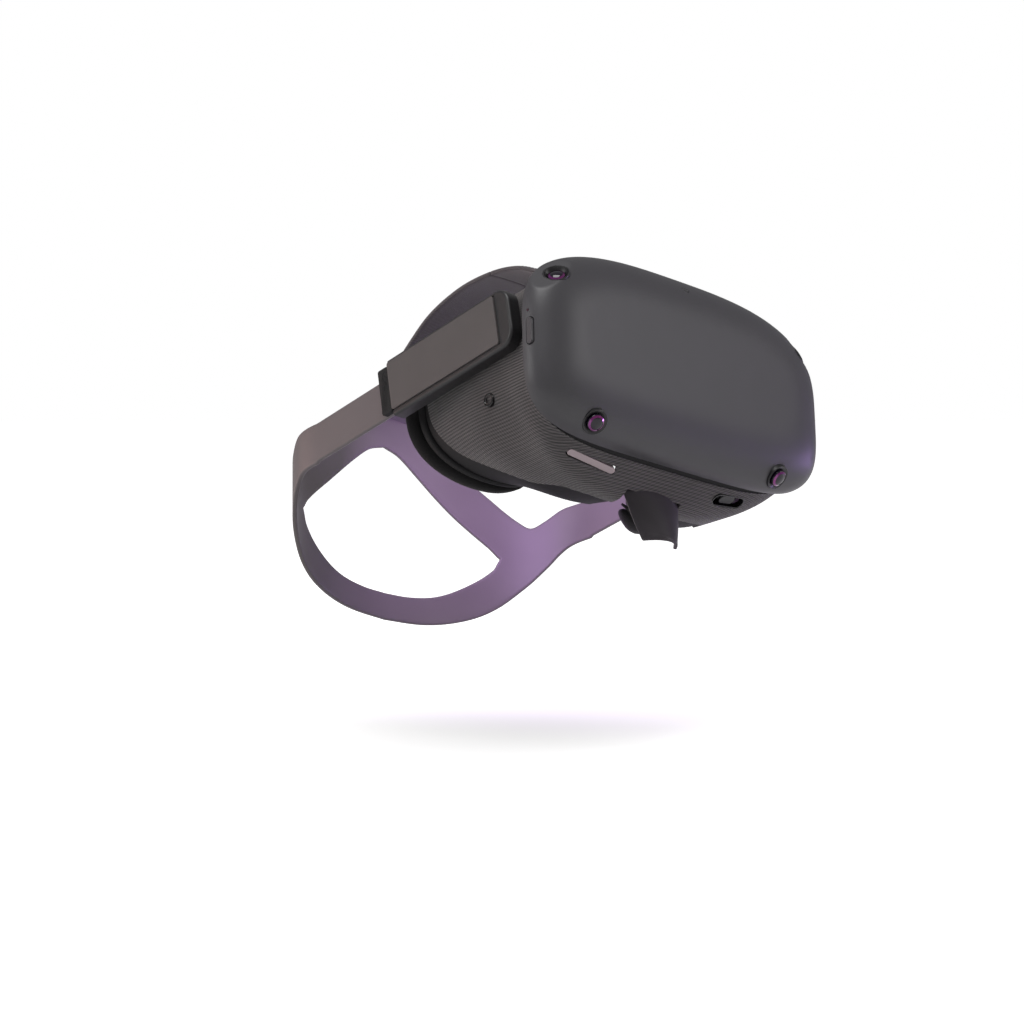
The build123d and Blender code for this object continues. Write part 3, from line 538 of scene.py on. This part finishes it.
def cut(thing, points, faces):
    """Cuts a closed shape (mm) out of a piece's mesh."""
    mesh = new_mesh("cutter", points, [], faces)
    face_outwards(mesh, merge=False)
    tool = new_object("cutter", mesh)
    modifier = thing.modifiers.new("Cut", "BOOLEAN")
    modifier.object, modifier.operation, modifier.solver = tool, "DIFFERENCE", "EXACT"
    apply_modifiers(thing)
    bpy.data.objects.remove(tool)


def prism_faces(n):
    """Faces of a closed prism: a ring of n points, then the same ring moved."""
    sides = [(k, (k + 1) % n, n + (k + 1) % n, n + k) for k in range(n)]
    return [tuple(range(n)), tuple(range(2 * n - 1, n - 1, -1))] + sides


def arch_cutter(front, rear):
    """Closed shape of the nose arch: a half round above a straight slot, from front to rear."""
    angles = [math.pi * k / 20 for k in range(21)]
    ring = [(ARCH_RADIUS * math.cos(a), ARCH_CENTRE + ARCH_RADIUS * math.sin(a)) for a in angles]
    ring = [(ARCH_RADIUS, ARCH_FOOT)] + ring + [(-ARCH_RADIUS, ARCH_FOOT)]
    points = [(x, front, z) for x, z in ring] + [(x, rear, z) for x, z in ring]
    return points, prism_faces(len(ring))


# ---- Properties ---------------------------------------------------------------------------------

class HeadsetSizes(bpy.types.PropertyGroup):
    """Sizes and looks a user would change."""
    fabric_stand: bpy.props.FloatProperty(
        name="Fabric stand-off", description="How far the knit stands off the rear shell",
        default=0.0003, unit="LENGTH")
    foam_depth: bpy.props.FloatProperty(
        name="Foam depth", description="Depth of the face pad at its middle",
        default=0.0105, unit="LENGTH")
    strap_thickness: bpy.props.FloatProperty(
        name="Strap thickness", description="Thickness of the rubber halo strap",
        default=0.0024, unit="LENGTH")
    webbing_width: bpy.props.FloatProperty(
        name="Webbing width", description="Width of the top strap",
        default=0.030, unit="LENGTH")
    stitch_spacing: bpy.props.FloatProperty(
        name="Stitch spacing", description="Distance between stitches",
        default=0.0027, unit="LENGTH")
    accent: bpy.props.FloatVectorProperty(
        name="Accent light", description="Colour of the violet accent light",
        default=(0.74, 0.46, 1.0), subtype="COLOR")


def sizes():
    return bpy.context.scene.headset_sizes


# ---- Operators ------------------------------------------------------------------------------------

class HEADSET_OT_finishes(bpy.types.Operator):
    """Gives every moulded, metal and glass part its finish"""
    bl_idname = "headset.finishes"
    bl_label = "Part finishes"

    def execute(self, context):
        by_node = {}
        for row in frame["record"]["materials"]:
            for node in row.get("nodes", []):
                by_node[node] = row["slot"]
        for name, thing in NODES.items():
            slot = by_node.get(name) or thing.get("slot")
            if slot is None and thing.data.materials and thing.data.materials[0]:
                slot = thing.data.materials[0].name.split(".")[0]
            label = SLOT_FINISH.get(slot, "Black moulding")
            # The volume rocker gets a painted reflection colour in place of its own dark finish
            if name == "volume_rocker":
                label = "Rocker painted reflection"
            if not thing.data.materials:
                thing.data.materials.append(finish(label))
            for k in range(len(thing.data.materials)):
                thing.data.materials[k] = finish(label)
        return {"FINISHED"}


def fabric_ends(angle):
    """Depths where the knit ends and where the shell meets the face curve, at an angle round it."""
    fabric = face = 60.0
    for _ in range(5):
        p = shell_at(angle, fabric)
        level = p.z - nose_lift(p.x, fabric) if p.z < SHELL_MIDDLE else p.z
        fabric = min(face_y(p.x) - 0.4, along(FABRIC_EDGE, level))
        face = face_y(shell_at(angle, face).x)
    return fabric, face


class HEADSET_OT_shell(bpy.types.Operator):
    """Stretches the ribbed knit over the rear shell, with its rubber edge behind it"""
    bl_idname = "headset.shell"
    bl_label = "Fabric shell"

    def execute(self, context):
        stand = sizes().fabric_stand / MM
        around, deep = 200, 26
        angles = [2 * math.pi * j / around for j in range(around)]
        ends = [fabric_ends(a) for a in angles]
        fabric, edge = [], []
        for k in range(deep):
            for a, (stop, face) in zip(angles, ends):
                y = FABRIC_FRONT + (stop - FABRIC_FRONT) * k / (deep - 1)
                fabric.append(shell_at(a, y, stand))
                y = stop - 3 + (max(face, stop) + 3 - stop) * k / (deep - 1)
                edge.append(shell_at(a, y, -0.5))
        faces = grid_faces(deep, around, True)
        knit = piece("fabric_cover", fabric, faces, "Ribbed fabric", None, "knit_fabric", [wall(1.4)])
        skin = piece("gasket_skin", edge, faces, "Gasket rubber", None, "black_plastic", [wall(1.2)])
        for thing, name in ((knit, "Ribbed fabric"), (skin, "Gasket rubber")):
            cut(thing, *arch_cutter(13, 140))
            if thing is knit:
                cut(thing, *pill(*SLIDER, 21.2, 6.6, -3, 5))
                cut(thing, *pill(*ROCKER, 31.2, 4.6, -3, 5))
            settle(thing, name, "visor", thing["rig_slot"], [rounded(0.4)])
        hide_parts("fabric_shell")
        rows = (0.9, 1.3, 2.1, 2.8, 3.4)
        points = [shell_at(a, y, -0.5 if y < 3 else -0.2) for y in rows for a in angles]
        piece("seam_flange", points, grid_faces(len(rows), around, True), "Gasket rubber", "visor",
              "black_plastic", [wall(3.2)])
        return {"FINISHED"}


def face_band(name, wide, top, bottom, across_size, start, depth, thin, finish_name, slot, replaced):
    """A band that follows the face curve and stops in rounded ends beside the nose."""
    around, section, gap = 200, 20, 0.36
    points = []
    for k in range(around):
        t = k / (around - 1)
        a = -math.pi / 2 + gap + (2 * math.pi - 2 * gap) * t
        end = min(1.0, min(t, 1 - t) * around / 7)
        swell = max(math.sin(end * math.pi / 2) ** 0.5, 0.06)
        up = math.sin(a) >= 0
        x = wide * power(math.cos(a), 2.6)
        z = SHELL_MIDDLE + (top if up else bottom) * power(math.sin(a), 2.6)
        inward = Vector((-x, 0, SHELL_MIDDLE - z)).normalized()
        if not up:
            z += nose_lift(x, 70)
        thick = depth * (1 - thin * (abs(x) / 80) ** 3)
        for j in range(section):
            b = 2 * math.pi * j / section
            across = across_size / 2 * (1 + power(math.cos(b), 2.8) * swell)
            back = start + thick * 0.5 * (1 + power(math.sin(b), 2.6) * swell)
            spot = Vector((x, 0, z)) + inward * across
            points.append((spot.x, face_y(min(abs(x), 88)) + back, spot.z))
    faces = grid_faces(around, section, True)
    faces += [tuple(range(section - 1, -1, -1)), tuple(range((around - 1) * section, around * section))]
    return piece(name, points, faces, finish_name, "visor", slot, sharp=60, replaces=replaced)


class HEADSET_OT_face_pad(bpy.types.Operator):
    """Builds the crowned foam face pad, its inner shroud and the rubber nose flap"""
    bl_idname = "headset.face_pad"
    bl_label = "Face pad and nose flap"

    def execute(self, context):
        foam = face_band("face_pad", 80.3, 50.0, 56.0, 12.0, 4.2, sizes().foam_depth / MM, 0.22,
                         "Foam skin", "foam", ("face_foam",))
        face_band("gasket_ring", 79.3, 49.0, 55.0, 9.0, -0.6, 5.2, 0.0,
                  "Gasket rubber", "black_plastic", ("gasket_frame",))

        shroud = copy_of("eye_shroud", "shroud_cloth", "Foam skin", "visor", "foam")
        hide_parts("eye_shroud")

        rows, columns, points = 22, 21, []
        for r in range(rows):
            v = r / (rows - 1)
            half = 18.6 * (1 - 0.42 * v**2.0)
            for c in range(columns):
                u = 2 * c / (columns - 1) - 1
                down = 37 * v - 2
                points.append((half * u, 14.6 - 0.32 * down + (3.0 + 5.0 * v) * u * u, -50 - 0.95 * down))
        piece("nose_flap_rubber", points, grid_faces(rows, columns), "Nose rubber", "visor",
              "soft_rubber", [wall(1.8, 0.0), rounded(0.6)], replaces=("nose_flap",))
        return {"FINISHED"}


def copy_of(node, name, finish_name, body, slot, changes=()):
    """A merged copy of a part's mesh, to be finished as a piece of its own."""
    mesh = NODES[node].data.copy()
    face_outwards(mesh)
    return settle(new_object(name, mesh), finish_name, body, slot, changes or [rounded(0.35)])


def plan(t):
    """Plan curve of the halo strap: 0 to 1 along the straight side, 1 to 2 round the back."""
    if t <= 1:
        return STRAP_SIDE, STRAP_FRONT + STRAP_STRAIGHT * t
    a = (t - 1) * math.pi / 2
    x = STRAP_SIDE * abs(math.cos(a)) ** (2 / STRAP_POWER)
    return x, STRAP_FRONT + STRAP_STRAIGHT + STRAP_BACK * math.sin(a) ** (2 / STRAP_POWER)


class HEADSET_OT_halo(bpy.types.Operator):
    """Moulds the rubber halo strap: two side bands that open round a window at the back"""
    bl_idname = "headset.halo"
    bl_label = "Halo strap"

    def execute(self, context):
        columns, rows = [], 9
        steps = [k / 24 for k in range(25)] + [1 + k / 90 for k in range(1, 91)]
        for side in (1, -1):
            for t in (steps if side == 1 else steps[-2::-1]):
                x, y = plan(t)
                axis = ARM_HEIGHT - (y - ARM_FRONT) * ARM_LEAN - BAND_DROP
                if t <= 1:
                    low, high = axis - BAND_HALF, axis + BAND_HALF
                else:
                    low, high = along(STRAP_BOTTOM, x), along(STRAP_TOP, x)
                middle = (low + high) / 2
                if x < TIP_X:
                    split = (along(WINDOW_BOTTOM, x), along(WINDOW_TOP, x))
                else:
                    f = min(1.0, (x - TIP_X) / (STRAP_SIDE - TIP_X))
                    z = TIP_Z * (1 - f) + middle * f
                    split = (z, z)
                columns.append((side * x, y, low, split[0], split[1], high))
        points = []
        for x, y, low, a, b, high in columns:
            points += [(x, y, low + (a - low) * r / (rows - 1)) for r in range(rows)]
            points += [(x, y, b + (high - b) * r / (rows - 1)) for r in range(rows)]
        width = 2 * rows
        faces = []
        for k in range(len(columns) - 1):
            for r in range(rows - 1):
                for base in (0, rows):
                    p = k * width + base + r
                    faces.append((p, p + width, p + width + 1, p + 1))
        piece("halo_band", points, faces, "Strap rubber", "head_strap", "strap_rubber",
              [wall(sizes().strap_thickness / MM, 0.0), rounded(0.8, 3)], sharp=55,
              replaces=("halo_strap",))
        return {"FINISHED"}


def strap_line(count, low, high):
    """Points and outward directions along the top strap's path, from low to high (0 to 1)."""
    out = []
    n = len(TOP_STRAP) - 1
    ys = [(k, p[0]) for k, p in enumerate(TOP_STRAP)]
    zs = [(k, p[1]) for k, p in enumerate(TOP_STRAP)]

    def slope(table, t):
        return along(table, min(t + 0.02, n)) - along(table, max(t - 0.02, 0))

    for k in range(count):
        t = (low + (high - low) * k / (count - 1)) * n
        d = Vector((0, slope(ys, t), slope(zs, t))).normalized()
        out.append((Vector((0, along(ys, t), along(zs, t))), Vector((0, -d.z, d.y))))
    return out


class HEADSET_OT_top_strap(bpy.types.Operator):
    """Runs the woven top strap from the shell to the loop, in two halves with sewn edges"""
    bl_idname = "headset.top_strap"
    bl_label = "Top strap"

    def execute(self, context):
        half = sizes().webbing_width / MM / 2
        halves = (
            ("top_strap_front", 0.0, 0.5, ("visor", "right_arm", (0, 0.050, 0), (0, 0.106, 0))),
            ("top_strap_rear", 0.5, 1.0, ("right_arm", "head_strap", (0, 0.112, 0), (0, 0.200, 0))),
        )
        for name, low, high, blend in halves:
            line = strap_line(56, low, high)
            across = 13
            points = []
            for spot, out in line:
                for c in range(across):
                    u = 2 * c / (across - 1) - 1
                    points.append(spot + out * (0.5 * (1 - u * u)) + Vector((half * u, 0, 0)))
            ribbon = piece(name, points, grid_faces(len(line), across), "Strap webbing", None, "tab_fabric",
                           [wall(2.2, 0.0), rounded(0.7)], replaces=("top_strap",))
            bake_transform(ribbon)
            rows = [[spot + out * 1.25 + Vector((side * (half - 2.2), 0, 0)) for spot, out in line]
                    for side in (-1, 1)]
            repeated(name + "_stitches", rows, None, "Stitch thread", None, "tab_fabric",
                     sizes().stitch_spacing / MM, 1.9, 0.28, blend)
        return {"FINISHED"}


class HEADSET_OT_tabs(bpy.types.Operator):
    """Lays the flat side tabs and the hook tape on both arms"""
    bl_idname = "headset.tabs"
    bl_label = "Side tabs and hook tape"

    def execute(self, context):
        for side, sign in (("right", -1), ("left", 1)):
            body = side + "_arm"
            tab = copy_of(side + "_side_tab", side + "_tab_skin", "Tab skin", body, "tab_fabric",
                          [rounded(0.3, 3)])
            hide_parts(side + "_side_tab")
            pad = copy_of(side + "_hook_pad", side + "_hook_tape", "Hook tape", body, "hook_fabric",
                          [rounded(0.25)])
            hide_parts(side + "_hook_pad")
            low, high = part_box(side + "_hook_pad")
            outer = (high.x if sign > 0 else low.x) / MM
            y0, y1 = low.y / MM + 3.2, high.y / MM - 3.2
            middle = (low.z + high.z) / 2 / MM
            sheet = [(outer, y, middle + up - (y - (y0 + y1) / 2) * ARM_LEAN)
                     for y in (y0, y1) for up in (-10.5, 10.5)]
            repeated(side + "_hooks", [sheet], [(0, 1, 3, 2)], "Hook tape", body, "hook_fabric",
                     spacing=0.62, length=0.9, radius=0.13)
        return {"FINISHED"}


def lathe(centre, normal, profile, count=48):
    """A closed turned shape: (radius, lift) pairs about an axis, in mm."""
    axis = Vector(normal).normalized()
    side = axis.orthogonal().normalized()
    up = axis.cross(side)
    points = []
    for radius, lift in profile:
        for k in range(count):
            a = 2 * math.pi * k / count
            points.append(Vector(centre) + (side * math.cos(a) + up * math.sin(a)) * radius + axis * lift)
    n = len(profile)
    faces = grid_faces(n, count, True)
    faces += [((n - 1) * count + k, (n - 1) * count + (k + 1) % count, (k + 1) % count, k) for k in range(count)]
    return points, faces


def lathe_solid(centre, normal, radius, count=40):
    """A closed round bar through a place, in mm."""
    points, faces = lathe(centre, normal, ((radius, -14), (radius, 14)), count)
    ends = [tuple(range(count)), tuple(range(2 * count - 1, count - 1, -1))]
    return points, faces[:count] + ends


def pill(origin, normal, long_way, length, width, low, high, corner=10):
    """A closed stadium-shaped block standing on a plane, from one lift to another."""
    n, u = Vector(normal).normalized(), Vector(long_way)
    u = (u - n * u.dot(n)).normalized()
    v = n.cross(u)
    ring = []
    for end in (1, -1):
        for k in range(corner + 1):
            a = -math.pi / 2 + math.pi * k / corner + (0 if end == 1 else math.pi)
            lengthwise = end * (length - width) / 2 + width / 2 * math.cos(a)
            ring.append(u * lengthwise + v * (width / 2 * math.sin(a)))
    points = [Vector(origin) + p + n * lift for lift in (low, high) for p in ring]
    return points, prism_faces(len(ring))


def pill_ring(origin, normal, long_way, length, width, rim, low, high):
    """A raised stadium-shaped rim."""
    points, count = [], 22
    section = ((rim, low), (rim, high - 0.15), (rim - 0.2, high), (0.2, high), (0, high - 0.15), (0, low))
    for grow, lift in section:
        ring, _ = pill(origin, normal, long_way, length + 2 * grow, width + 2 * grow, lift, lift)
        points += ring[:count]
    faces = grid_faces(len(section), count, True)
    last = (len(section) - 1) * count
    faces += [(last + k, last + (k + 1) % count, (k + 1) % count, k) for k in range(count)]
    return points, faces


class HEADSET_OT_cover(bpy.types.Operator):
    """Forms the front cover: a soft outline, flats at the upper cameras, and its openings"""
    bl_idname = "headset.cover"
    bl_label = "Front cover"

    def execute(self, context):
        around, steps, front_rows = 240, 30, 12
        points = []
        for k in range(steps + front_rows):
            if k < steps:
                f = k / (steps - 1) * math.pi / 2
                y = -COVER_DEPTH * math.sin(f) ** (2 / COVER_POWER)
                inset = COVER_ROUND * (1 - max(math.cos(f), 0) ** (2 / COVER_POWER))
                shrink = 1.0
            else:
                y, inset = -COVER_DEPTH, COVER_ROUND
                shrink = 1 - (k - steps + 1) / (front_rows + 0.2)
            for j in range(around):
                a = 2 * math.pi * j / around
                up = math.sin(a) >= 0
                n = COVER_POWER_TOP if up else COVER_POWER_BOTTOM
                reach = (COVER_TOP if up else COVER_BOTTOM) - inset
                x = (COVER_HALF - inset) * power(math.cos(a), n) * shrink
                z = COVER_MIDDLE + reach * power(math.sin(a), n) * shrink
                points.append(Vector((x, y, z)))
        for name, (centre, normal) in CAMERAS.items():
            if "upper" in name:
                n = Vector(normal).normalized()
                facet = Vector(centre) + n * 0.6
                for p in points:
                    over = (p - facet).dot(n)
                    if over > 0:
                        p -= n * over
        faces = grid_faces(steps + front_rows, around, True)
        faces.append(tuple(range(len(points) - around, len(points))))
        cover = piece("cover_shell", points, faces, "Soft touch cover", None, "cover_plastic",
                      [wall(1.9)])
        for centre, normal in CAMERAS.values():
            cut(cover, *lathe_solid(centre, normal, 6.5))
        for opening in COVER_OPENINGS:
            cut(cover, *pill(*opening))
        settle(cover, "Soft touch cover", "visor", "cover_plastic", sharp=35,
               replaces=("front_cover",))
        return {"FINISHED"}


class HEADSET_OT_cameras(bpy.types.Operator):
    """Sets a coned cup, a coated glass dome and a ring of painted violet reflection over the dome in each
    tracking camera
    """
    bl_idname = "headset.cameras"
    bl_label = "Tracking cameras"

    def execute(self, context):
        for name, (centre, normal) in CAMERAS.items():
            flat = 0.5 if "upper" in name else -1.7
            cup = ((6.4, -7.5), (6.4, flat), (6.2, flat + 0.2), (5.9, flat + 0.2),
                   (4.5, -2.4), (4.3, -2.5), (4.3, -7.5))
            piece(name + "_camera_cup", *lathe(centre, normal, cup), "Black moulding", "visor",
                  "black_plastic", replaces=(name + "_camera",))
            angles = [k * math.pi / 2 / 10 for k in range(10)]
            dome = [(DOME_RADIUS, -2.2)]
            dome += [(DOME_RADIUS * math.cos(a), -1.35 + DOME_RISE * math.sin(a)) for a in angles]
            dome += [(0.02, 0.55), (0.02, -2.2)]
            piece(name + "_dome", *lathe(centre, normal, dome), "Tracking glass", "visor",
                  "camera_glass", replaces=(name + "_camera_lens",))
            # Painted reflection: a thin violet ring over the dome stands in for the coloured reflection of the
            # lens coating
            ring = [(r, -1.30 + DOME_RISE * math.sin(math.acos(r / DOME_RADIUS)) + lift)
                    for r, lift in ((4.0, 0.0), (4.0, 0.05), (3.1, 0.05), (3.1, 0.0))]
            piece(name + "_coating", *lathe(centre, normal, ring), "Violet coating", "visor",
                  "camera_glass")
        return {"FINISHED"}


class HEADSET_OT_controls(bpy.types.Operator):
    """Adds the rims of the lens slider and the audio sockets"""
    bl_idname = "headset.controls"
    bl_label = "Controls and rims"

    def execute(self, context):
        for side, sign in (("right", -1), ("left", 1)):
            low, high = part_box(side + "_audio_jack")
            x = (high.x if sign > 0 else low.x) / MM
            centre = (x - sign * 0.2, (low.y + high.y) / 2 / MM, (low.z + high.z) / 2 / MM)
            rim = ((3.4, -1.4), (3.4, 0.1), (3.1, 0.45), (2.6, 0.45), (2.2, 0.1), (2.2, -1.4))
            piece(side + "_socket_rim", *lathe(centre, (sign, 0, 0), rim), "Gloss black", "visor",
                  "black_plastic")
        piece("slider_rim", *pill_ring(*SLIDER, 20.4, 5.8, 0.8, -2.0, 1.0), "Gloss black", "visor",
              "black_plastic")
        return {"FINISHED"}


class HEADSET_OT_stage(bpy.types.Operator):
    """Sets the pale floor, the soft light and the camera"""
    bl_idname = "headset.stage"
    bl_label = "Stage"

    def execute(self, context):
        scene = bpy.context.scene
        world = bpy.data.worlds.new("Studio")
        world.use_nodes = True
        world.node_tree.nodes["Background"].inputs["Color"].default_value = (1, 1, 1, 1)
        seen = world.node_tree.nodes.new("ShaderNodeLightPath")
        shown = maths(world.node_tree, "MULTIPLY", seen.outputs["Is Camera Ray"], 0.72)
        strength = maths(world.node_tree, "ADD", shown, 0.28)
        world.node_tree.links.new(strength, world.node_tree.nodes["Background"].inputs["Strength"])
        scene.world = world
        scene.view_settings.view_transform = "Standard"
        forward = Vector((0.648866, 0.692957, 0.314300))
        right = Vector((0.734206, -0.678647, -0.019500))
        up = Vector((-0.199786, -0.243414, 0.949123))
        eye = Vector((-1.041301, -0.999618, -0.545145))
        data = bpy.data.cameras.new("Camera")
        data.lens, data.sensor_width = 112.98, 36.0
        data.clip_start, data.clip_end = 0.05, 50.0
        camera = bpy.data.objects.new("Camera", data)
        camera.matrix_world = Matrix((
            (right.x, up.x, -forward.x, eye.x), (right.y, up.y, -forward.y, eye.y),
            (right.z, up.z, -forward.z, eye.z), (0, 0, 0, 1)))
        scene.collection.objects.link(camera)
        scene.camera = camera

        tilt = math.radians(4.5)
        normal = (up * math.cos(tilt) - forward * math.sin(tilt)).normalized()
        ahead = normal.cross(right).normalized()
        centre = eye + forward * 1.54 - up * 0.108
        reach = 3.0
        corners = [centre + right * a * reach + ahead * b * reach
                   for a, b in ((-1, -1), (1, -1), (1, 1), (-1, 1))]
        mesh = bpy.data.meshes.new("floor")
        mesh.from_pydata([tuple(corner) for corner in corners], [], [(0, 1, 2, 3)])
        floor = new_object("floor", mesh)
        if mesh.polygons[0].normal.dot(normal) < 0:
            mesh.flip_normals()
        mat = bpy.data.materials.new("Pale floor")
        mat.use_nodes = True
        tree = mat.node_tree
        shader = tree.nodes["Principled BSDF"]
        shader.inputs["Roughness"].default_value = 0.9
        shader.inputs["Specular IOR Level"].default_value = 0.1
        shader.inputs["Emission Color"].default_value = (1, 1, 1, 1)
        place, path = tree.nodes.new("ShaderNodeTexCoord"), tree.nodes.new("ShaderNodeLightPath")
        # Painted shadow: a soft round darkening of the floor's colour and glow under the object
        painted_shadow_middle = centre - right * 0.015 + ahead * 0.02
        parts = []
        for direction, half in ((right, 0.21), (ahead, 0.27)):
            dot = tree.nodes.new("ShaderNodeVectorMath")
            dot.operation = "DOT_PRODUCT"
            dot.inputs[1].default_value = direction
            tree.links.new(place.outputs["Object"], dot.inputs[0])
            offset = maths(tree, "SUBTRACT", dot.outputs["Value"], painted_shadow_middle.dot(direction))
            away = maths(tree, "DIVIDE", offset, half)
            parts.append(maths(tree, "MULTIPLY", away, away))
        shade = maths(tree, "SUBTRACT", 1.0, maths(tree, "ADD", *parts), clamp=True)
        shade = maths(tree, "MULTIPLY", shade, shade)
        # Painted shadow darkens the floor's colour
        whiteness = maths(tree, "SUBTRACT", 0.96, maths(tree, "MULTIPLY", shade, 0.56))
        tint = tree.nodes.new("ShaderNodeCombineColor")
        for k in range(3):
            tree.links.new(whiteness, tint.inputs[k])
        tree.links.new(tint.outputs[0], shader.inputs["Base Color"])
        glow = maths(tree, "ADD", maths(tree, "MULTIPLY", path.outputs["Is Camera Ray"], 0.62), 0.12)
        # Painted shadow dims the floor's glow
        dimmed = maths(tree, "SUBTRACT", 1.0, maths(tree, "MULTIPLY", shade, 0.22))
        tree.links.new(maths(tree, "MULTIPLY", glow, dimmed), shader.inputs["Emission Strength"])
        # Seen from below, the floor is clear
        clear = tree.nodes.new("ShaderNodeBsdfTransparent")
        mixer = tree.nodes.new("ShaderNodeMixShader")
        side = tree.nodes.new("ShaderNodeNewGeometry")
        tree.links.new(side.outputs["Backfacing"], mixer.inputs[0])
        tree.links.new(shader.outputs[0], mixer.inputs[1])
        tree.links.new(clear.outputs[0], mixer.inputs[2])
        tree.links.new(mixer.outputs[0], tree.nodes["Material Output"].inputs["Surface"])
        mesh.materials.append(mat)

        target = Vector((0, 0.05, -0.01))
        accent = tuple(sizes().accent)
        lamps = (
            ("Key", target + up * 1.5 - right * 0.2 - forward * 0.5, 15, 0.9, (1, 1, 1)),
            ("Left fill", target - right * 1.3 - forward * 0.6 + up * 0.5, 5.0, 0.6, (1, 0.995, 0.99)),
            ("Front", target + Vector((0.75, -1.25, 0.55)), 3.6, 0.5, (1, 0.99, 0.98)),
            ("Rim", Vector((0.98, -0.30, -0.10)), 6, 0.35, (0.58, 0.36, 1.0)),
            ("Low pink", Vector((0.34, -0.22, -0.72)), 3.4, 0.4, (1.0, 0.68, 0.70)),
            ("Back pink", Vector((-0.55, 1.0, 0.08)), 2.4, 0.4, (1.0, 0.62, 0.56)),
            ("Loop", Vector((0.0, 0.13, 0.0)), 0.17, 0.08, accent),
        )
        for name, spot, watts, size, colour in lamps:
            light = bpy.data.lights.new(name, "AREA")
            light.energy, light.size, light.color = watts, size, colour
            lamp = bpy.data.objects.new(name, light)
            lamp.location = spot
            aim = (Vector((0.09, 0.17, -0.02)) if name == "Loop" else target) - spot
            lamp.rotation_euler = aim.to_track_quat("-Z", "Y").to_euler()
            lamp.visible_camera = False
            scene.collection.objects.link(lamp)
        return {"FINISHED"}


OPERATORS = (
    HEADSET_OT_finishes, HEADSET_OT_cover, HEADSET_OT_cameras, HEADSET_OT_shell, HEADSET_OT_face_pad,
    HEADSET_OT_halo, HEADSET_OT_top_strap, HEADSET_OT_tabs, HEADSET_OT_controls, HEADSET_OT_stage,
)


class HEADSET_PT_panel(bpy.types.Panel):
    """Sidebar panel with the headset's pieces"""
    bl_idname = "HEADSET_PT_panel"
    bl_label = "Headset"
    bl_space_type = "VIEW_3D"
    bl_region_type = "UI"
    bl_category = "Headset"

    def draw(self, context):
        for name in HeadsetSizes.__annotations__:
            self.layout.prop(context.scene.headset_sizes, name)
        for operator in OPERATORS:
            self.layout.operator(operator.bl_idname)


CLASSES = (HeadsetSizes, *OPERATORS, HEADSET_PT_panel)


def register():
    for cls in CLASSES:
        bpy.utils.register_class(cls)
    bpy.types.Scene.headset_sizes = bpy.props.PointerProperty(type=HeadsetSizes)


def unregister():
    del bpy.types.Scene.headset_sizes
    for cls in reversed(CLASSES):
        bpy.utils.unregister_class(cls)


def main():
    register()
    bpy.ops.headset.finishes()
    bpy.ops.headset.cover()
    bpy.ops.headset.cameras()
    bpy.ops.headset.shell()
    bpy.ops.headset.face_pad()
    bpy.ops.headset.halo()
    bpy.ops.headset.top_strap()
    bpy.ops.headset.tabs()
    bpy.ops.headset.controls()
    bpy.ops.headset.stage()


if __name__ == "__main__":
    main()
